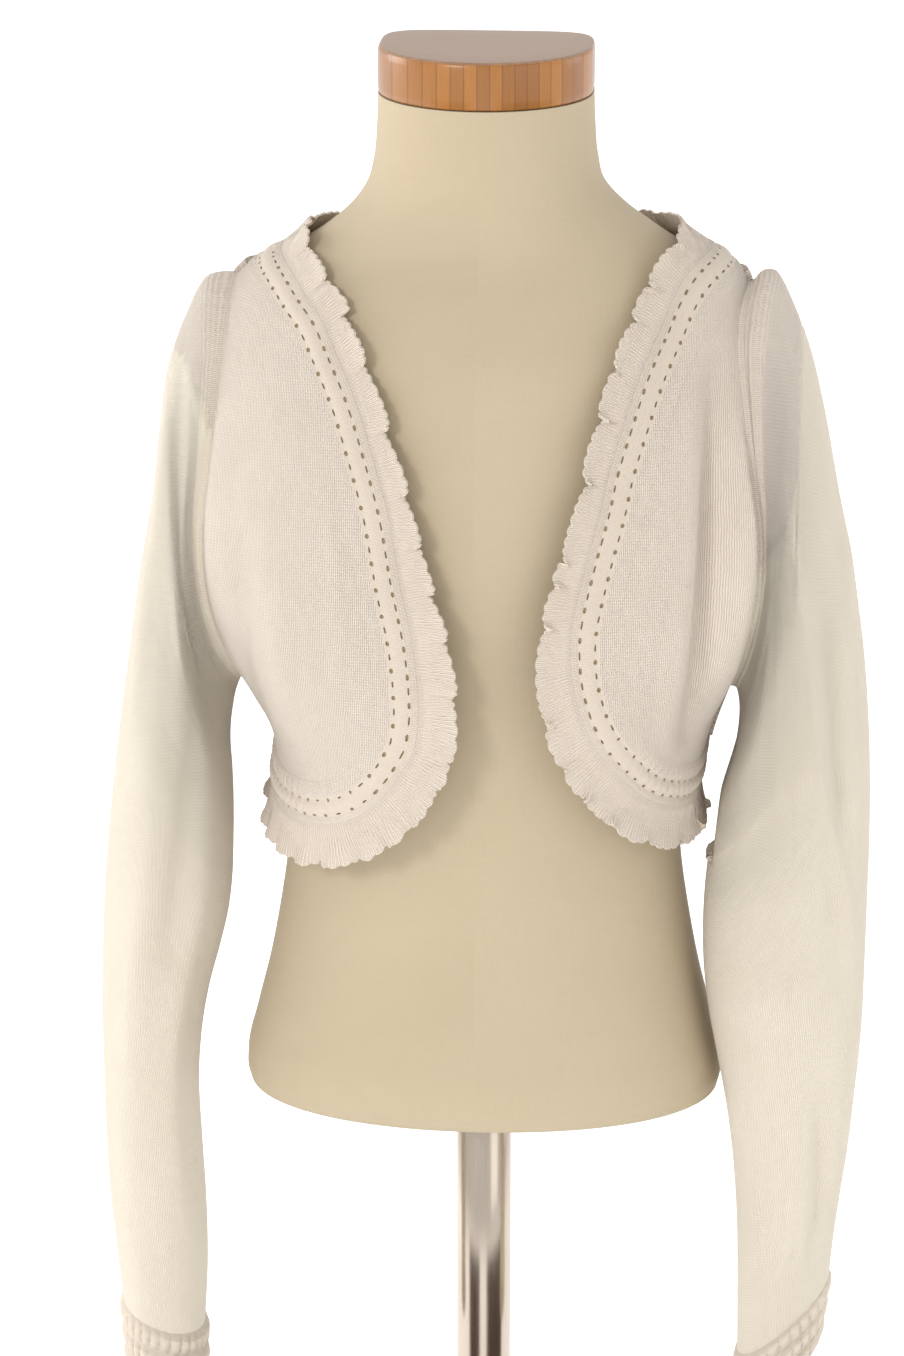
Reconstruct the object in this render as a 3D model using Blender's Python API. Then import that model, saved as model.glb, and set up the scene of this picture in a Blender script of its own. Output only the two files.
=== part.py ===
"""Child's open-front cardigan with a ruffled trim, worn on a limbless dress form.

Metres, +Z up, the front faces -Y.  Right and left are the wearer's, so the
right side lies at -X.  The origin is the centre of the base's underside.
"""
import math

import bmesh
import bpy
import numpy as np

for old in list(bpy.data.objects):
    bpy.data.objects.remove(old, do_unlink=True)

MM = 0.001

# Driving dimensions, in metres
WALL = 0.0020            # knitted wall of the body and the sleeves
TRIM_WALL = 0.0018       # plain wall under the raised strips of the trim
RUFFLE_WALL = 0.0011     # wall of the ruffle
SEAM = 0.0003            # gap left at every seam between two pieces
STRIP_RISE = 0.0010      # how far a raised strip stands off its wall
FOLD_RISE = 0.0030       # height of the largest draped fold
WAVE_LENGTH = 0.0192     # mean length of one wave
BASE_RADIUS = 0.140
BASE_THICKNESS = 0.009
BOSS_RADIUS = 0.022
BOSS_TOP = 0.021
POLE_RADIUS = 0.0125
FORM_BOTTOM = 0.3725
CAP_BOTTOM = 0.8360
CAP_TOP = 0.8570
ARM_GAP = 0.0004         # how far a sleeve's first ring stays inside and off its armhole
HEAD_START = 0.0025      # how far the head of a sleeve starts off the body
HEAD_STEP = 0.0018       # how far it moves out from ring to ring
HEAD_DROP = 0.0040       # how far it moves down from ring to ring
HEAD_SWELL = 0.0060      # how far its front and back stand out
HEAD_PUFF = {"right": 0.0020, "left": 0.0080}     # how far its top rises over the armhole
SLEEVE_CLEAR = 0.0010    # least room between the body and the first ring of a sleeve
SLEEVE_CLEAR_GROWTH = 0.0036
TRIM_CLEAR = 0.0040      # further room beside the trim of the hem
CALM_LENGTH = 0.0120     # length over which a ruffle calms down to its ends
RUFFLE_START = 0.0012    # rise of a ruffle that no wave lifts
RUFFLE_SWAY = 0.0022     # how far the waves sway along the run
WALK_STEP = 2.0          # longest step over the body, mm
PANEL_WIDTH = 0.150      # width that one share of the way round stands for

# Dress form sections.  Columns: height m, half width right, half width left,
# front depth, back depth, front power, back power (mm)
FORM = np.array([
    (0.3725, 98.0, 98.0, 60.0, 62.0, 2.1, 2.1),
    (0.3750, 104.5, 104.5, 66.0, 69.0, 2.1, 2.1),
    (0.3800, 107.6, 107.6, 69.5, 73.0, 2.1, 2.1),
    (0.3900, 108.3, 108.3, 71.5, 75.0, 2.1, 2.1),
    (0.4120, 103.5, 103.5, 70.5, 74.0, 2.1, 2.1),
    (0.4350, 97.8, 97.8, 68.5, 71.0, 2.1, 2.1),
    (0.4590, 93.2, 93.2, 66.5, 68.0, 2.1, 2.1),
    (0.4850, 89.4, 89.4, 66.0, 65.0, 2.1, 2.1),
    (0.5150, 87.6, 87.6, 66.5, 63.5, 2.1, 2.1),
    (0.5500, 89.0, 89.0, 70.0, 64.0, 2.1, 2.1),
    (0.5900, 96.5, 96.5, 76.0, 67.0, 2.1, 2.1),
    (0.6300, 104.5, 104.5, 80.5, 70.5, 2.1, 2.1),
    (0.6700, 111.0, 111.0, 80.0, 72.5, 2.1, 2.1),
    (0.7050, 115.5, 115.5, 74.5, 71.8, 2.1, 2.1),
    (0.7280, 116.0, 116.0, 67.8, 67.8, 2.1, 2.1),
    (0.7430, 111.8, 111.8, 60.8, 63.2, 2.0, 2.1),
    (0.7550, 101.4, 103.4, 55.0, 58.2, 2.0, 2.1),
    (0.7650, 85.6, 91.4, 50.3, 53.4, 2.0, 2.2),
    (0.7740, 71.4, 77.4, 47.3, 48.9, 2.0, 2.4),
    (0.7840, 59.6, 62.6, 45.9, 43.4, 2.0, 2.8),
    (0.7940, 52.6, 52.6, 45.8, 38.0, 2.0, 3.4),
    (0.8060, 49.0, 49.0, 46.2, 34.5, 2.0, 4.0),
    (0.8200, 47.6, 47.6, 46.6, 33.0, 2.0, 4.6),
    (0.8357, 47.0, 47.0, 46.8, 32.0, 2.0, 5.0),
])

# Cardigan body sections, with the same columns
BODY = np.array([
    (0.470, 97.0, 97.0, 85.0, 75.0, 2.3, 2.3),
    (0.500, 97.0, 97.0, 86.0, 76.0, 2.3, 2.3),
    (0.525, 95.5, 98.0, 87.5, 77.5, 2.3, 2.3),
    (0.545, 94.5, 101.0, 88.5, 78.5, 2.4, 2.3),
    (0.566, 104.0, 108.0, 89.5, 79.0, 2.5, 2.4),
    (0.590, 117.5, 118.5, 90.0, 79.0, 2.6, 2.5),
    (0.620, 127.0, 127.0, 90.0, 79.0, 2.7, 2.6),
    (0.650, 130.0, 130.0, 88.0, 78.0, 2.7, 2.6),
    (0.680, 128.0, 128.0, 84.0, 77.0, 2.6, 2.5),
    (0.710, 124.5, 124.5, 77.5, 74.5, 2.4, 2.4),
    (0.730, 121.0, 121.0, 70.2, 70.2, 2.2, 2.3),
    (0.745, 115.3, 117.3, 63.0, 65.3, 2.1, 2.2),
    (0.757, 105.4, 113.6, 56.6, 59.7, 2.0, 2.2),
    (0.767, 89.4, 102.4, 52.0, 55.0, 2.0, 2.2),
    (0.776, 75.4, 81.4, 49.4, 50.6, 2.0, 2.3),
    (0.786, 65.6, 68.4, 48.6, 46.6, 2.0, 2.5),
    (0.797, 60.0, 60.0, 49.2, 43.4, 2.0, 2.8),
])

# Seam between a front panel and its trim.  Columns: share of the way round
# from the centre front to the side, height m
FRONT_SEAM = {
    "right": np.array([
        (1.000, 0.7570), (0.920, 0.7556), (0.826, 0.7529), (0.711, 0.7472), (0.627, 0.7407), (0.559, 0.7340),
        (0.511, 0.7264), (0.467, 0.7183), (0.429, 0.7102), (0.397, 0.7015), (0.370, 0.6920), (0.346, 0.6824),
        (0.325, 0.6730), (0.306, 0.6632), (0.292, 0.6529), (0.281, 0.6423), (0.271, 0.6316), (0.260, 0.6209),
        (0.251, 0.6102), (0.247, 0.5994), (0.248, 0.5884), (0.255, 0.5774), (0.273, 0.5665), (0.315, 0.5575),
        (0.372, 0.5485), (0.446, 0.5412), (0.543, 0.5372), (0.680, 0.5365), (0.830, 0.5390), (1.000, 0.5435)]),
    "left": np.array([
        (1.000, 0.7570), (0.870, 0.7545), (0.768, 0.7493), (0.700, 0.7420), (0.648, 0.7338), (0.596, 0.7252),
        (0.551, 0.7166), (0.514, 0.7072), (0.483, 0.6976), (0.455, 0.6877), (0.432, 0.6777), (0.414, 0.6672),
        (0.395, 0.6567), (0.377, 0.6462), (0.363, 0.6359), (0.351, 0.6252), (0.344, 0.6142), (0.349, 0.6028),
        (0.365, 0.5915), (0.394, 0.5803), (0.441, 0.5695), (0.510, 0.5591), (0.600, 0.5490), (0.715, 0.5430),
        (0.850, 0.5405), (1.000, 0.5435)]),
}
FRONT_CORNER = {"right": 22, "left": 19}     # row of the table where the front turns into the hem

# Back seams.  Columns: share of the way from the side to the centre back, height m
NECK_SEAM = np.array([(0.0, 0.7570), (0.2, 0.7540), (0.45, 0.7480), (0.7, 0.7425), (1.0, 0.7400)])
HEM_SEAM = np.array([(0.0, 0.5435), (0.25, 0.5520), (0.5, 0.5620), (0.75, 0.5690), (1.0, 0.5710)])

# Armhole: an oval seen from the side
ARM_TOP = 0.7530
ARM_BOTTOM = 0.5680
ARM_FRONT = 0.0450
ARM_BACK = 0.0430

# Profile of the trim.  Columns: distance from the panel seam mm, rise 0 to 1
TRIM_PROFILE = np.array([
    (0.0, 0.2), (1.8, 1.0), (6.0, 1.0), (8.0, 0.0), (10.0, 1.0), (13.2, 1.0), (15.2, 0.0), (17.0, 0.8), (18.8, 0.2)])

# Width of each ruffle.  Columns: share of its run, width mm
RUFFLE_WIDTH = {
    "right": np.array([(0.0, 17.0), (0.05, 15.0), (0.12, 13.0), (0.18, 13.5), (0.22, 11.8), (0.28, 11.4), (0.36, 11.8),
                       (0.42, 12.5), (0.48, 15.0), (0.55, 17.0), (0.65, 18.0), (0.8, 19.0), (1.0, 17.0)]),
    "left": np.array([(0.0, 17.0), (0.05, 14.0), (0.12, 14.0), (0.2, 14.0), (0.28, 12.5), (0.36, 11.5), (0.45, 11.7),
                      (0.55, 13.8), (0.65, 16.8), (0.8, 19.0), (1.0, 17.0)]),
    "neck": np.array([(0.0, 16.5), (0.1, 12.5), (0.2, 10.8), (0.8, 10.8), (0.9, 12.5), (1.0, 16.5)]),
    "hem": np.array([(0.0, 17.0), (0.2, 18.5), (0.8, 18.5), (1.0, 17.0)]),
}
# How far each ruffle leans off the body at its free edge, and its swing (mm)
RUFFLE_LEAN = {"right": (4.0, 4.6), "left": (4.0, 4.6), "neck": (4.5, 3.0), "hem": (4.0, 4.6)}

# Draped folds of the body.  Columns: side (-1 right, 1 left), distance round from
# the centre front mm and height m of the first end, the same of the second end,
# half width mm, rise as a share of FOLD_RISE
FOLDS = np.array([
    (1, 118.0, 0.700, 112.0, 0.560, 11.0, -1.0),
    (1, 132.0, 0.660, 138.0, 0.575, 9.0, 1.1),
    (-1, 120.0, 0.690, 128.0, 0.580, 10.0, 0.9),
    (-1, 100.0, 0.640, 118.0, 0.550, 9.0, -0.8),
])

# Sleeves.  Columns: outer edge x mm, z m, inner edge x mm, z m, middle y mm,
# half depth mm, power of the section
SLEEVE = {
    "right": np.array([
        (121.0, 0.7530, 112.5, 0.5665, 0.0, 44.5, 2.1),
        (129.5, 0.7480, 113.0, 0.5630, -1.0, 44.0, 2.1),
        (136.5, 0.7320, 114.0, 0.5570, -2.0, 43.5, 2.1),
        (143.8, 0.7080, 114.5, 0.5480, -3.0, 43.0, 2.1),
        (146.5, 0.6810, 115.0, 0.5390, -4.0, 42.5, 2.1),
        (148.8, 0.6520, 115.0, 0.5300, -5.0, 42.0, 2.1),
        (152.2, 0.6300, 114.5, 0.5200, -6.0, 41.5, 2.1),
        (155.7, 0.6080, 114.0, 0.5100, -7.0, 41.0, 2.1),
        (158.8, 0.5855, 113.8, 0.4990, -8.0, 40.5, 2.1),
        (162.3, 0.5600, 114.0, 0.4860, -9.0, 40.0, 2.1),
        (166.0, 0.5320, 114.6, 0.4720, -9.0, 39.0, 2.1),
        (169.2, 0.5040, 116.5, 0.4570, -9.0, 38.0, 2.1),
        (171.8, 0.4750, 120.5, 0.4400, -9.0, 36.5, 2.1),
        (173.5, 0.4450, 125.5, 0.4210, -9.0, 35.0, 2.1),
        (174.3, 0.4150, 129.3, 0.3990, -9.0, 33.5, 2.1),
        (174.2, 0.3850, 131.0, 0.3740, -9.0, 32.0, 2.1),
        (173.7, 0.3550, 130.0, 0.3460, -9.0, 31.0, 2.1),
        (172.5, 0.3250, 128.4, 0.3160, -9.0, 30.0, 2.1),
        (169.8, 0.2950, 128.0, 0.2850, -9.0, 29.0, 2.1),
        (167.0, 0.2680, 129.6, 0.2545, -9.0, 28.0, 2.1)]),
    "left": np.array([
        (124.0, 0.7610, 112.5, 0.5665, 0.0, 44.5, 2.1),
        (132.5, 0.7550, 113.0, 0.5630, -1.0, 44.0, 2.1),
        (139.5, 0.7395, 113.5, 0.5570, -2.0, 43.5, 2.1),
        (147.5, 0.7160, 113.0, 0.5480, -3.0, 43.0, 2.1),
        (153.5, 0.6870, 111.5, 0.5380, -4.0, 42.5, 2.1),
        (159.0, 0.6540, 109.0, 0.5280, -5.0, 42.0, 2.1),
        (163.6, 0.6310, 106.5, 0.5180, -6.0, 41.0, 2.1),
        (167.0, 0.6080, 104.5, 0.5070, -7.0, 40.0, 2.1),
        (170.2, 0.5840, 102.5, 0.4960, -8.0, 39.0, 2.1),
        (172.6, 0.5560, 101.0, 0.4830, -9.5, 38.0, 2.1),
        (173.9, 0.5270, 100.0, 0.4690, -11.0, 36.5, 2.1),
        (174.1, 0.4980, 99.8, 0.4540, -13.0, 35.0, 2.1),
        (173.6, 0.4690, 100.6, 0.4380, -16.0, 33.5, 2.1),
        (173.1, 0.4400, 103.2, 0.4190, -19.0, 32.0, 2.1),
        (172.2, 0.4110, 107.4, 0.3980, -21.0, 31.0, 2.1),
        (169.9, 0.3820, 112.0, 0.3730, -20.0, 30.0, 2.1),
        (167.4, 0.3550, 115.4, 0.3450, -18.0, 29.5, 2.1),
        (164.2, 0.3300, 117.4, 0.3130, -16.0, 29.0, 2.1),
        (161.6, 0.3080, 118.0, 0.2810, -15.0, 28.5, 2.1),
        (160.0, 0.2890, 118.3, 0.2515, -14.0, 28.0, 2.1)]),
}
# Sleeve creases.  Columns: turn round the sleeve degrees (0 outer edge, 90 front),
# station of the first end, turn and station of the second end, half width
# degrees, rise mm
CREASES = {
    "right": np.array([
        (58.0, 1.0, 62.0, 8.0, 16.0, -2.6),
        (88.0, 8.0, 96.0, 14.0, 18.0, -2.8),
        (30.0, 12.0, 44.0, 17.0, 20.0, 1.6)]),
    "left": np.array([
        (104.0, 2.5, 84.0, 10.0, 20.0, 3.2),
        (132.0, 3.0, 118.0, 11.0, 16.0, -2.6),
        (52.0, 0.8, 60.0, 3.0, 22.0, -2.4),
        (60.0, 12.0, 96.0, 16.5, 18.0, 1.8)]),
}
# Cuff ends: outer edge x mm, z m, inner edge x mm, z m, middle y mm, half depth mm, power
CUFF_END = {
    "right": (164.6, 0.2350, 130.2, 0.2215, -9.0, 26.0, 2.1),
    "left": (155.8, 0.2580, 117.6, 0.2240, -14.0, 26.5, 2.1),
}
# Rows of the cuff.  Columns: share of its length, rise mm
CUFF_PROFILE = np.array([
    (0.0, 0.0), (0.09, 1.5), (0.24, 1.5), (0.33, 0.0), (0.42, 1.5), (0.57, 1.5), (0.66, 0.0), (0.75, 1.6),
    (0.9, 1.6), (1.0, 0.3)])

# Heights that a sleeve passes on its way down
HEM_TOP = 0.575          # the trim of the hem starts
HEM_BLEND = 0.020        # and is fully there this much lower
HEM_END = 0.490          # only the form is beside the sleeve
FORM_END = 0.370         # nothing is beside the sleeve

# Counts of the meshes
FORM_SIDES = 30
SLEEVE_SIDES = 24
FRONT_COLUMNS = 13
BACK_HALF = 9           # points from the side to the centre back
RUFFLE_STEPS = 5         # points along one wave


def material(name, colour, roughness, metallic=0.0):
    """Make a plain Principled material."""
    made = bpy.data.materials.new(name)
    made.use_nodes = True
    shader = made.node_tree.nodes["Principled BSDF"]
    shader.inputs["Base Color"].default_value = (*colour, 1.0)
    shader.inputs["Roughness"].default_value = roughness
    shader.inputs["Metallic"].default_value = metallic
    return made


def smooth_table(at, table):
    """Read every value column of a table through a smooth curve."""
    at = np.asarray(at, float)
    keys = table[:, 0]
    place = np.clip(np.searchsorted(keys, at) - 1, 0, len(keys) - 2)
    step = keys[place + 1] - keys[place]
    share = (at - keys[place]) / step
    out = []
    for values in table[:, 1:].T:
        slope = np.gradient(values, keys)
        out.append((2 * share**3 - 3 * share**2 + 1) * values[place]
                   + (share**3 - 2 * share**2 + share) * step * slope[place]
                   + (3 * share**2 - 2 * share**3) * values[place + 1]
                   + (share**3 - share**2) * step * slope[place + 1])
    return out


def curve_through(points, count, start=0.0, end=1.0):
    """Points at even lengths along a smooth curve through the rows given."""
    points = np.asarray(points, float)
    scale = np.array([PANEL_WIDTH, 1.0]) / MM
    length = np.r_[0.0, np.cumsum(np.linalg.norm(np.diff(points * scale, axis=0), axis=1))]
    table = np.column_stack([length, points])
    at = np.linspace(start, end, count) * length[-1]
    return np.column_stack(smooth_table(at, table))


def section(height, turn, table):
    """Point of a body section; turn is 0 at the front and pi at the back."""
    right, left, front, back, power_front, power_back = smooth_table(height, table)
    half = np.where(np.asarray(turn) < 0, right, left)
    sine, cosine = np.sin(turn), np.cos(turn)
    ahead = cosine >= 0
    power = np.where(ahead, power_front, power_back)
    depth = np.where(ahead, front, back)
    x = half * np.sign(sine) * np.abs(sine) ** (2 / power)
    y = -depth * np.sign(cosine) * np.abs(cosine) ** (2 / power)
    return x * MM, y * MM


TURNS = np.linspace(0.0, math.pi, 241)     # from the centre front to the centre back
SIDE_TURN = 120                            # place of the side line among them


def round_lengths(height, sign, table=BODY):
    """Section points and the length along them, from the centre front to the back, on one side."""
    height = np.asarray(height, float)
    x, y = section(height[..., None], TURNS * sign, table)
    steps = np.hypot(np.diff(x, axis=-1), np.diff(y, axis=-1))
    length = np.concatenate([np.zeros(height.shape + (1,)), np.cumsum(steps, axis=-1)], -1)
    return x, y, length


def side_length(height, sign):
    """Length from the centre front to the side, in mm."""
    return round_lengths(height, sign)[2][..., SIDE_TURN] / MM


def on_body(share, height):
    """Point of the body surface; share is 0 at the centre front, 1 at the side and 2 at the back."""
    share, height = np.broadcast_arrays(np.asarray(share, float), np.asarray(height, float))
    sides = {sign: round_lengths(height, sign) for sign in (-1, 1)}
    out = np.empty(share.shape + (3,))
    for index in np.ndindex(share.shape):
        x, y, length = [values[index] for values in sides[-1 if share[index] < 0 else 1]]
        size = abs(share[index])
        side, back = length[SIDE_TURN], length[-1]
        reach = size * side if size <= 1 else side + (size - 1) * (back - side)
        out[index] = (np.interp(reach, length, x), np.interp(reach, length, y), height[index])
    return out


def arm_edge(sign, front):
    """Armhole seam of a panel as share and height, from the shoulder down to the underarm."""
    turn = np.linspace(0, math.pi, SLEEVE_SIDES // 2 + 1)
    height = (ARM_TOP + ARM_BOTTOM) / 2 + (ARM_TOP - ARM_BOTTOM) / 2 * np.cos(turn)
    y = -ARM_FRONT * np.sin(turn) if front else ARM_BACK * np.sin(turn)
    __, ys, length = round_lengths(height, sign)
    reach = np.array([np.interp(y[k], ys[k], length[k]) for k in range(len(y))])
    side, back = length[:, SIDE_TURN], length[:, -1]
    share = np.where(reach <= side, reach / side, 1 + (reach - side) / (back - side))
    return np.column_stack([share, height])


def grid_normals(grid, closed=False):
    """Unit normals of a grid of points; closed grids wrap round their columns."""
    if closed:
        wide = np.concatenate([grid[:, -1:], grid, grid[:, :1]], 1)
        across = wide[:, 2:] - wide[:, :-2]
    else:
        across = np.gradient(grid, axis=1)
    along = np.gradient(grid, axis=0)
    normal = np.cross(across, along)
    return normal / np.maximum(np.linalg.norm(normal, axis=-1, keepdims=True), 1e-12)


def fold_rise(distance, height):
    """Rise in metres of the draped folds at points of the body."""
    rise = np.zeros(np.shape(distance))
    for side, d0, z0, d1, z1, half, share in FOLDS:
        ax, ay, bx, by = side * d0, z0 / MM, side * d1, z1 / MM
        px, py = distance - ax, np.asarray(height) / MM - ay
        span = (bx - ax) ** 2 + (by - ay) ** 2
        along = (px * (bx - ax) + py * (by - ay)) / span
        off = (px * (by - ay) - py * (bx - ax)) / math.sqrt(span)
        fade = np.clip(1 - (2 * along - 1) ** 2, 0, 1) ** 0.7 * ((along > 0) & (along < 1))
        rise += share * FOLD_RISE * np.exp(-(off / half) ** 2) * fade
    return rise


def patch(left, right, top, bottom, rows, columns):
    """Fill four edges with a grid; left and right run down, top and bottom run left to right."""
    left, right = [edge if len(edge) == rows else curve_through(edge, rows) for edge in (left, right)]
    top, bottom = [edge if len(edge) == columns else curve_through(edge, columns) for edge in (top, bottom)]
    s = np.linspace(0, 1, columns)[None, :, None]
    t = np.linspace(0, 1, rows)[:, None, None]
    corners = ((1 - s) * (1 - t) * top[0] + s * (1 - t) * top[-1] + (1 - s) * t * bottom[0] + s * t * bottom[-1])
    return (1 - s) * left[:, None] + s * right[:, None] + (1 - t) * top[None] + t * bottom[None] - corners


def add_object(name, points, faces, mat, smooth=True):
    """Make a mesh object with its faces turned out."""
    mesh = bpy.data.meshes.new(name)
    mesh.from_pydata([tuple(p) for p in points], [], [tuple(f) for f in faces])
    made = bmesh.new()
    made.from_mesh(mesh)
    bmesh.ops.remove_doubles(made, verts=made.verts, dist=1e-7)
    bmesh.ops.recalc_face_normals(made, faces=made.faces)
    bmesh.ops.triangulate(made, faces=made.faces)
    if made.calc_volume(signed=True) < 0:
        bmesh.ops.reverse_faces(made, faces=made.faces)
    made.to_mesh(mesh)
    made.free()
    mesh.materials.append(mat)
    mesh.polygons.foreach_set("use_smooth", [smooth] * len(mesh.polygons))
    placed = bpy.data.objects.new(name, mesh)
    bpy.context.scene.collection.objects.link(placed)
    return placed


def wall_between(name, outer, inner, mat):
    """Close an open sheet: two grids with the same rows, joined round their rims."""
    rows, wide, narrow = outer.shape[0], outer.shape[1], inner.shape[1]
    points = np.concatenate([outer.reshape(-1, 3), inner.reshape(-1, 3)])
    first = rows * wide

    def out(r, c):
        return r * wide + c

    def ins(r, c):
        return first + r * narrow + c

    faces = []
    for r in range(rows - 1):
        faces += [(out(r, c), out(r, c + 1), out(r + 1, c + 1), out(r + 1, c)) for c in range(wide - 1)]
        faces += [(ins(r, c), ins(r + 1, c), ins(r + 1, c + 1), ins(r, c + 1)) for c in range(narrow - 1)]
        faces.append((out(r, 0), out(r + 1, 0), ins(r + 1, 0), ins(r, 0)))
        faces.append((out(r, wide - 1), ins(r, narrow - 1), ins(r + 1, narrow - 1), out(r + 1, wide - 1)))
    for r in (0, rows - 1):
        faces.append([out(r, c) for c in range(wide)] + [ins(r, c) for c in range(narrow - 1, -1, -1)])
    return add_object(name, points, faces, mat)


def tube_between(name, outer, inner, mat):
    """Close a tube: outer and inner rings, joined at both ends."""
    sides = outer.shape[1]
    points = np.concatenate([outer.reshape(-1, 3), inner.reshape(-1, 3)])
    first = outer.shape[0] * sides
    faces = []
    for rings, base in ((outer.shape[0], 0), (inner.shape[0], first)):
        for r in range(rings - 1):
            for c in range(sides):
                n = (c + 1) % sides
                faces.append((base + r * sides + c, base + r * sides + n, base + (r + 1) * sides + n,
                              base + (r + 1) * sides + c))
    for r_out, r_in in ((0, 0), (outer.shape[0] - 1, inner.shape[0] - 1)):
        for c in range(sides):
            n = (c + 1) % sides
            faces.append((r_out * sides + c, r_out * sides + n, first + r_in * sides + n, first + r_in * sides + c))
    return add_object(name, points, faces, mat)


def solid_rings(name, rings, mat, smooth=True):
    """Close a stack of rings with flat ends."""
    rings = np.asarray(rings)
    count, sides = rings.shape[:2]
    faces = []
    for r in range(count - 1):
        for c in range(sides):
            n = (c + 1) % sides
            faces.append((r * sides + c, r * sides + n, (r + 1) * sides + n, (r + 1) * sides + c))
    faces.append(list(range(sides)))
    faces.append([(count - 1) * sides + c for c in range(sides)])
    return add_object(name, rings.reshape(-1, 3), faces, mat, smooth)


# Materials
KNIT = material("knit", (0.83, 0.76, 0.66), 0.9)
TRIM_KNIT = material("trim_knit", (0.85, 0.78, 0.69), 0.9)
CLOTH = material("form_cloth", (0.66, 0.56, 0.40), 0.85)
WOOD = material("cap_wood", (0.45, 0.24, 0.09), 0.35)
STEEL = material("brushed_steel", (0.55, 0.55, 0.56), 0.35, 1.0)
PLATE = material("base_steel", (0.52, 0.52, 0.53), 0.40, 1.0)


def build_stand():
    """Base, pole, padded form and wooden cap."""
    turn = np.linspace(0, 2 * math.pi, 40, endpoint=False)
    profile = [(BASE_RADIUS - 0.0015, 0.0), (BASE_RADIUS, 0.0015), (BASE_RADIUS, BASE_THICKNESS - 0.003),
               (BASE_RADIUS - 0.003, BASE_THICKNESS), (BOSS_RADIUS + 0.002, BASE_THICKNESS + 0.0005),
               (BOSS_RADIUS, BASE_THICKNESS + 0.002), (BOSS_RADIUS, BOSS_TOP - 0.0015), (BOSS_RADIUS - 0.0015, BOSS_TOP)]
    solid_rings("base", [[(r * math.cos(t), r * math.sin(t), z) for t in turn] for r, z in profile], PLATE)

    turn = np.linspace(0, 2 * math.pi, 32, endpoint=False)
    heights = (BOSS_TOP + SEAM, FORM_BOTTOM - SEAM)
    solid_rings("pole", [[(POLE_RADIUS * math.cos(t), POLE_RADIUS * math.sin(t), z) for t in turn] for z in heights],
                STEEL)

    turn = np.linspace(0, 2 * math.pi, FORM_SIDES, endpoint=False)
    signed = np.where(turn > math.pi, turn - 2 * math.pi, turn)
    rings = []
    for z in FORM[:, 0]:
        x, y = section(z, signed, FORM)
        rings.append(np.column_stack([x, y, np.full(FORM_SIDES, z)]))
    solid_rings("form_body", rings, CLOTH)

    cap = []
    for z, shrink in ((CAP_BOTTOM, 0.010), (CAP_BOTTOM + 0.0008, 0.0), (CAP_TOP - 0.0015, 0.0), (CAP_TOP, 0.035)):
        x, y = section(FORM[-1, 0], signed, FORM)
        cap.append(np.column_stack([x * (1 - shrink), y * (1 - shrink), np.full(FORM_SIDES, z)]))
    solid_rings("neck_cap", cap, WOOD)


def calm_rim(grid):
    """Weights that fade from 1 inside a grid to 0 along its rim."""
    rows, columns = grid.shape[:2]
    down = np.minimum(np.arange(rows), np.arange(rows)[::-1])[:, None] / 2.0
    across = np.minimum(np.arange(columns), np.arange(columns)[::-1])[None, :] / 2.0
    return np.clip(down, 0, 1) * np.clip(across, 0, 1)


def build_front(side):
    """One front panel; returns its seam against the trim, from the shoulder to the side."""
    sign = -1 if side == "right" else 1
    seam = FRONT_SEAM[side]
    corner = FRONT_CORNER[side]
    heights = np.linspace(ARM_BOTTOM, seam[-1, 1], 4)[1:]
    outer_edge = np.concatenate([arm_edge(sign, True), np.column_stack([np.ones(3), heights])])
    outer_edge[:, 0] -= SEAM / 2 / PANEL_WIDTH
    columns, rows = FRONT_COLUMNS, len(outer_edge)
    heights = np.linspace(seam[0, 1], ARM_TOP, columns)
    top = np.column_stack([np.full(columns, outer_edge[0, 0]), heights])
    flat = patch(seam[:corner + 1], outer_edge, top, seam[corner:], rows, columns)
    share, height = flat[..., 0] * sign, flat[..., 1]
    outer = on_body(share, height)
    normal = grid_normals(outer) * (-sign)
    rise = fold_rise(share * side_length(height, sign), height) * calm_rim(share)
    outer = outer + normal * rise[..., None]
    normal = grid_normals(outer) * (-sign)
    wall_between("front_" + side, outer, outer - normal * WALL, KNIT)
    return np.concatenate([outer[:, 0], outer[-1, 1:]])


def back_seam(table, count):
    """A back seam from the right side to the left, as share and height."""
    part = np.linspace(0, 1, count)
    half = np.column_stack([-(1 + part), smooth_table(part, table)[0]])
    return np.concatenate([half, (half * [-1, 1])[-2::-1]])


def build_back():
    """The back panel; returns its neck seam and its hem seam, right to left."""
    heights = np.linspace(ARM_BOTTOM, HEM_SEAM[0, 1], 4)[1:]
    edges = []
    for sign in (-1, 1):
        edge = np.concatenate([arm_edge(sign, False), np.column_stack([np.ones(3), heights])])
        edge[:, 0] += SEAM / 2 / PANEL_WIDTH
        edges.append(edge * [sign, 1])
    shoulder = np.column_stack([np.full(3, edge[0, 0]), np.linspace(ARM_TOP, NECK_SEAM[0, 1], 4)[:-1]])
    neck = back_seam(NECK_SEAM, BACK_HALF - 2)
    neck[0, 0], neck[-1, 0] = -edge[0, 0], edge[0, 0]
    top = np.concatenate([shoulder * [-1, 1], neck, shoulder[::-1]])
    count = len(top)
    bottom = back_seam(HEM_SEAM, (count + 1) // 2)
    bottom[0, 0], bottom[-1, 0] = -edge[0, 0], edge[0, 0]
    flat = straight_back(*edges, top, bottom)
    outer = on_body(flat[..., 0], flat[..., 1])
    normal = -grid_normals(outer)
    wall_between("back", outer, outer - normal * WALL, KNIT)
    return outer[0, 3:-3], outer[-1]


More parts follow.
